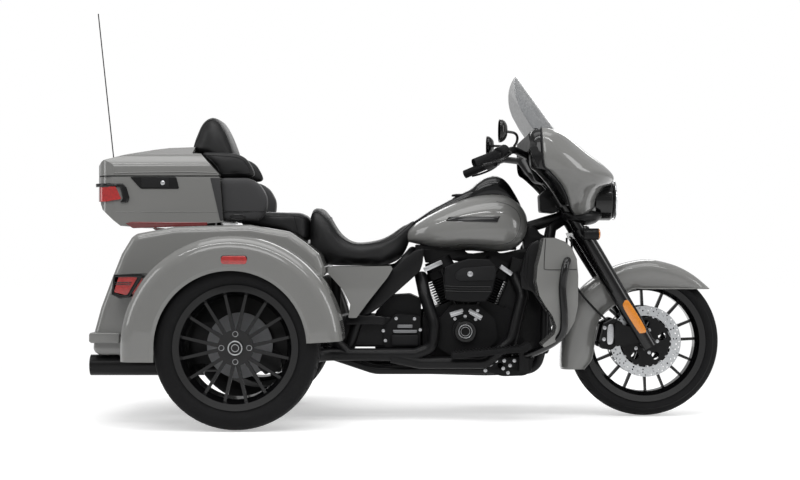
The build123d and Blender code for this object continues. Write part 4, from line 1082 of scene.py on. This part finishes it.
CRANK = np.array([266, 345])
BANK_TILT = math.radians(22.5)
edges, tubes = [], []
for lean in (-1, 1):
    tilt = BANK_TILT * lean
    along, across = np.array([math.sin(tilt), math.cos(tilt)]), np.array([math.cos(tilt), -math.sin(tilt)])
    for k in range(9):
        middle = CRANK + along * (172 + k * 11.4)
        low, high = middle - across * 84, middle + across * 84
        edges += [rod_shell([(low[0], y, low[1]), (high[0], y, high[1])], 1.5, 6, 4, False) for y in (-71.5, 71.5)]
    for offset in (-16, 16):
        foot = np.array([250 + lean * 14, 455]) + across * offset
        head = CRANK + along * 305 + across * (offset * 1.4 - lean * 20)
        tubes.append(rod_shell([(foot[0], -128, foot[1]), (head[0], -112, head[1])], 8.5, 16, 6, False))
piece("cylinder_fin_edges", edges, cast_grey)
piece("pushrod_tubes", tubes, frame_black, slot="engine_black")
for name, spans in (
    ("rocker_bars", (((76, 622), (151, 656), 9, 146), ((397, 638), (445, 604), 9, 146))),
    (
        "tappet_bars",
        (
            ((185, 437), (239, 455), 7, 152), ((264, 455), (319, 424), 7, 152), ((188, 427), (238, 443), 3, 152),
            ((266, 443), (314, 414), 3, 152),
        ),
    ),
):
    bars = []
    for (x1, z1), (x2, z2), half, out in spans:
        normal = np.array([-(z2 - z1), x2 - x1]) / math.hypot(x2 - x1, z2 - z1) * half
        outline = [
            (x1 + normal[0], z1 + normal[1]), (x2 + normal[0], z2 + normal[1]), (x2 - normal[0], z2 - normal[1]),
            (x1 - normal[0], z1 - normal[1]),
        ]
        bars.append(cut_plate([rounded(outline, 3)], -out, -out + 60, 1.0))
    piece(name, bars, bare_alloy)
CAM_COVER = (248, -177, 366)
cam = [turned_shell([(0, 46), (-4, 46), (-7, 43), (-7, 33), (-5, 31), (-5, 30), (0, 30)], CAM_COVER, "Y", 48)]
piece("cam_cover_bezel", cam, gloss_black)


def hoop(centre, radius, thick, axis="Y", count=72):
    """A round bar bent into a full circle about an axis through the centre."""
    turn = np.linspace(0, 2 * math.pi, 12, endpoint=False)
    return turned_shell(
        np.stack([thick * np.sin(turn), radius + thick * np.cos(turn)], 1)[[*range(12), 0]], centre, axis, count,
    )


piece("cam_cover_rings", [hoop((248, -181, 366), 27.5, 2.0), hoop((248, -181, 366), 18.5, 1.1)], bare_alloy)
piece(
    "cam_cover_face",
    [turned_shell([(0, 31), (-3, 31), (-4, 29), (-4, 20), (-3, 18), (-3, 0.1)], CAM_COVER, "Y", 48)], wrinkle_black,
)
screws = [
    (-41, 419), (36, 418), (-95, 368), (-86, 327), (140, 250), (322, 262), (300, 452), (200, 268), (248, 428),
    (205, 418), (292, 416), (60, 372),
]
piece("engine_cover_screws", [bolt_shell(x, -153, z, 5.5, -1) for x, z in screws], bare_alloy)
breather = cut_plate([rounded([(-60, 306), (52, 306), (52, 352), (-60, 352)], 10)], -168, -150, 4)
piece("side_breather_cover", [breather], moulded_black)
bright = cut_plate([rounded([(-52, 359), (44, 359), (48, 372), (-56, 372)], 5)], -166, -150, 2)
piece(
    "side_breather_bar",
    [bright, cut_plate([rounded([(-36, 380), (28, 380), (28, 394), (-36, 394)], 5)], -160, -150, 2)], cast_grey,
)


# Air cleaner: a moulded cover with a raised insert, two breathing grooves and
# one bright screw. Its face is left without words.

insert = rounded([(203, 592), (222, 578), (366, 581), (372, 600), (372, 638), (350, 641), (232, 632), (206, 612)], 10)
piece("air_cleaner_insert", [cut_plate([insert], -243, -236, 2)], moulded_black)
grooves = [
    rod_shell([(162, -238.5, z), (240, -238.8, z - 3), (352, -238.5, z - 3)], r, 8, 60)
    for z, r in ((558, 3.0), (538, 3.0), (548, 1.4))
]
piece("air_cleaner_grooves", grooves, gloss_black)
piece("air_cleaner_screw", [bolt_shell(265, -243, 607, 9.5, -1)], bare_alloy)


# Footboards: ribbed rubber over cast boards, each on a drilled bracket plate
# bolted to the lower rail.

treads = []
for side in (-1, 1):
    treads.append(
        cut_plate(
            [rounded([(186, 262), (486, 292), (500, 306), (508, 326), (492, 328), (470, 312), (186, 286)], 4)],
            side * 230, side * 352, 3,
        )
    )
    treads += [
        rod_shell(
            [(x, side * 236, 289 + (x - 200) * 0.098), (x, side * 346, 289 + (x - 200) * 0.098)], 2.6, 6, 4, False,
        )
        for x in range(205, 470, 14)
    ]
piece("footboard_rubbers", treads, rubber)
plate = rounded([(325, 262), (528, 258), (522, 200), (492, 184), (400, 181), (338, 200)], 14)
surround(plate, 196, 206, wrinkle_black, "footboard_brackets", edge=2.5, holes=[ring((392, 226), 12, 24)])
heads = []
for side in (-1, 1):
    heads.append(bolt_shell(346, side * 206, 238, 13, side))
    heads += [
        bolt_shell(x, side * 206, z, 6, side)
        for x, z in ((375, 246), (408, 246), (404, 214), (432, 226), (450, 246), (424, 196), (488, 232), (330, 205))
    ]
piece("footboard_bracket_bolts", heads, bare_alloy)
pan = cut_plate([rounded([(-60, 190), (330, 180), (480, 184), (500, 196), (330, 206), (-60, 206)], 6)], -150, 150, 3)
piece("bottom_rail_cover", [pan], frame_black)


# Wheel trim: lug bolts and a plain cap with two bright rings on each rear
# wheel, and the black liners of the wheel wells.

for side, word in ((-1, "right"), (1, "left")):
    body = f"rear_wheel_{word}"
    lugs = [bolt_shell(x, side * 640.5, z, 9, side) for x, z in ring((REAR_X, REAR_Z), 54, 4)]
    piece(f"rear_lug_bolts_{word}", lugs, bare_alloy, body)
    cap = turned_shell(
        [(side * along, r) for along, r in ((0, 30), (4, 30), (6, 28), (6, 25), (4, 24), (4, 10), (5, 9), (5, 0.1))],
        (REAR_X, side * 648.5, REAR_Z), "Y", 48,
    )
    piece(f"rear_wheel_cap_{word}", [cap], gloss_black, body)
    piece(
        f"rear_wheel_cap_ring_{word}",
        [hoop((REAR_X, side * 653.5, REAR_Z), 26.5, 2.4), hoop((REAR_X, side * 652.6, REAR_Z), 14, 1.2)], bare_alloy,
        body,
    )
arch = [(-680 + 290 * math.cos(a), 330 + 290 * math.sin(a)) for a in np.linspace(-0.28, math.pi + 0.28, 60)]
axle_hole = ring((REAR_X, REAR_Z), 92, 40)
surround(arch, 436, 440, satin_black, "wheel_well_liners", edge=1.0, holes=[axle_hole])


# Rear body trim: the bumper strip in body colour, and gloss black bezels and
# bars on the tail lamps.

strip = rounded(
    [(-1268, 340), (-1260, 334), (-1150, 334), (-1146, 342), (-1146, 368), (-1156, 374), (-1262, 375), (-1268, 368)],
    3,
)
piece("bumper_strip", [cut_plate([strip], -462, 462, 4)], grey_paint, replaced=("rear_bumper",))
bezel = rounded([(-1151, 609), (-1044, 614), (-1034, 604), (-1088, 520), (-1126, 514), (-1160, 530)], 4)
opening = rounded([(-1145, 599), (-1066, 600), (-1058, 597), (-1097, 530), (-1122, 527), (-1151, 538)], 4)
lamp_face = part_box("body_lamps")[1][1] * 1000
surround(bezel, 428, lamp_face + 3, gloss_black, "tail_lamp_bezels", holes=[opening], edge=1.5)
bars = [
    rod_shell(
        [(-1146, side * (lamp_face + 1), z), (-1068 - (600 - z) * 0.58, side * (lamp_face + 1), z)], 1.6, 6, 4, False,
    )
    for side in (-1, 1)
    for z in (578, 571)
]
piece("tail_lamp_bars", bars, gloss_black)


# Number plate: a blank pale plate on its black holder, held by four screws.

blank = Finish("blank_plate", roughness=0.45, coat_weight=0.3)
blank.set("Base Color", blank.mix(blank.noise(8.0), linear(206, 207, 208), linear(224, 225, 226)))
blank.bump(blank.noise(120.0), 0.00003)
points, faces = cut_plate([rounded([(-88, 232), (88, 232), (88, 345), (-88, 345)], 10)], -1300, -1297, 0.8)
piece("number_plate_blank", [(points[:, [1, 0, 2]], faces)], blank, slot="body_paint")
piece(
    "number_plate_screws", [bolt_shell(-1300, y, z, 3.6, -1, "X") for y in (-70, 70) for z in (244, 333)], bare_alloy,
)


# Chin: the black moulding that closes the fairing's underside round the fork.

chin_rows = [
    (664, 846, 872, 150), (680, 828, 872, 168), (720, 814, 872, 170), (760, 812, 878, 156), (800, 818, 874, 128),
    (828, 838, 866, 90),
]
piece("fairing_chin", [hull_shell(chin_rows, 40, 48, (0.6, 0.8, 0.7), 0.6)[1]], satin_black, "steering")


# Handlebar controls: lever blades, switch housings, mirror glasses, the lamp's
# bright ring behind its clear glass, and the turn-signal lenses.

controls = both_rods(
    [(400, 360, 1110), (418, 385, 1096), (392, 425, 1075), (345, 452, 1056), (305, 462, 1046)], 5.0, 12, 60,
)
controls += both_rods([(396, 350, 1122), (412, 352, 1110), (418, 380, 1098)], 11, 12, 20)
piece("hand_levers", controls, gloss_black, "steering")
housings = both_rods([(400, 352, 1110), (372, 396, 1094)], 26, 16, 10, False)
piece("switch_housings", housings, moulded_black, "steering")
head = cut_plate([rounded([(572, 868), (632, 862), (664, 884), (668, 960), (600, 966), (568, 940)], 8)], -56, 56, 6)
piece("steering_head_cover", [head], satin_black, "steering")
backs, glasses = [], []
for side in (-1, 1):
    turn = np.linspace(0, 2 * math.pi, 48, endpoint=False)[None, :]
    depth = np.linspace(0, 1, 12)[:, None]
    swell = np.sqrt(1 - depth**2.4).clip(0.02)
    squircle = [np.sign(f(turn)) * np.abs(f(turn)) ** 0.75 for f in (np.cos, np.sin)]
    grid = np.stack(
        [372 + 34 * depth + 0 * turn, side * 452 + 75 * swell * squircle[0], 1183 + 46 * swell * squircle[1]], -1,
    )
    backs.append(grid_shell(grid, wrap_columns=True, capped=True))
    rim = np.stack([371.4 + 0 * turn[0], side * 452 + 69 * squircle[0][0], 1183 + 40 * squircle[1][0]], -1)
    centre = np.array([371.4, side * 452, 1183])
    glasses.append(grid_shell(np.stack([rim, centre + (rim - centre) * 0.02]), wrap_columns=True, capped=True))
backs += both_rods(
    [(440, 340, 1128), (450, 352, 1146), (450, 372, 1166), (436, 402, 1178), (402, 428, 1182)], 5.5, 12, 40,
)
piece("mirror_backs", backs, gloss_black, "steering", replaced=("mirrors",))
piece("mirror_glasses", glasses, mirror_glass, "steering")
glass = turned_shell([(0, 78), (2, 76), (4, 66), (5.5, 45), (6.5, 20), (7, 0.1)], (893, 0, 918), "X", 64)
lens = Finish("clear_lens", base_color=(0.9, 0.92, 0.94), roughness=0.03, coat_weight=1.0, alpha=0.35)
piece("headlamp_glass", [glass], lens, "steering", slot="windshield")
piece("headlamp_ring", [hoop((892, 0, 918), 81, 4.0, "X")], chrome, "steering")
signals = [
    turned_shell([(0, 22), (3, 22), (7, 18), (9, 10), (9.5, 0.1)], (797, side * 222, 772), "X", 40)
    for side in (-1, 1)
]
piece("turn_signal_lenses", signals, amber_lens, "steering")
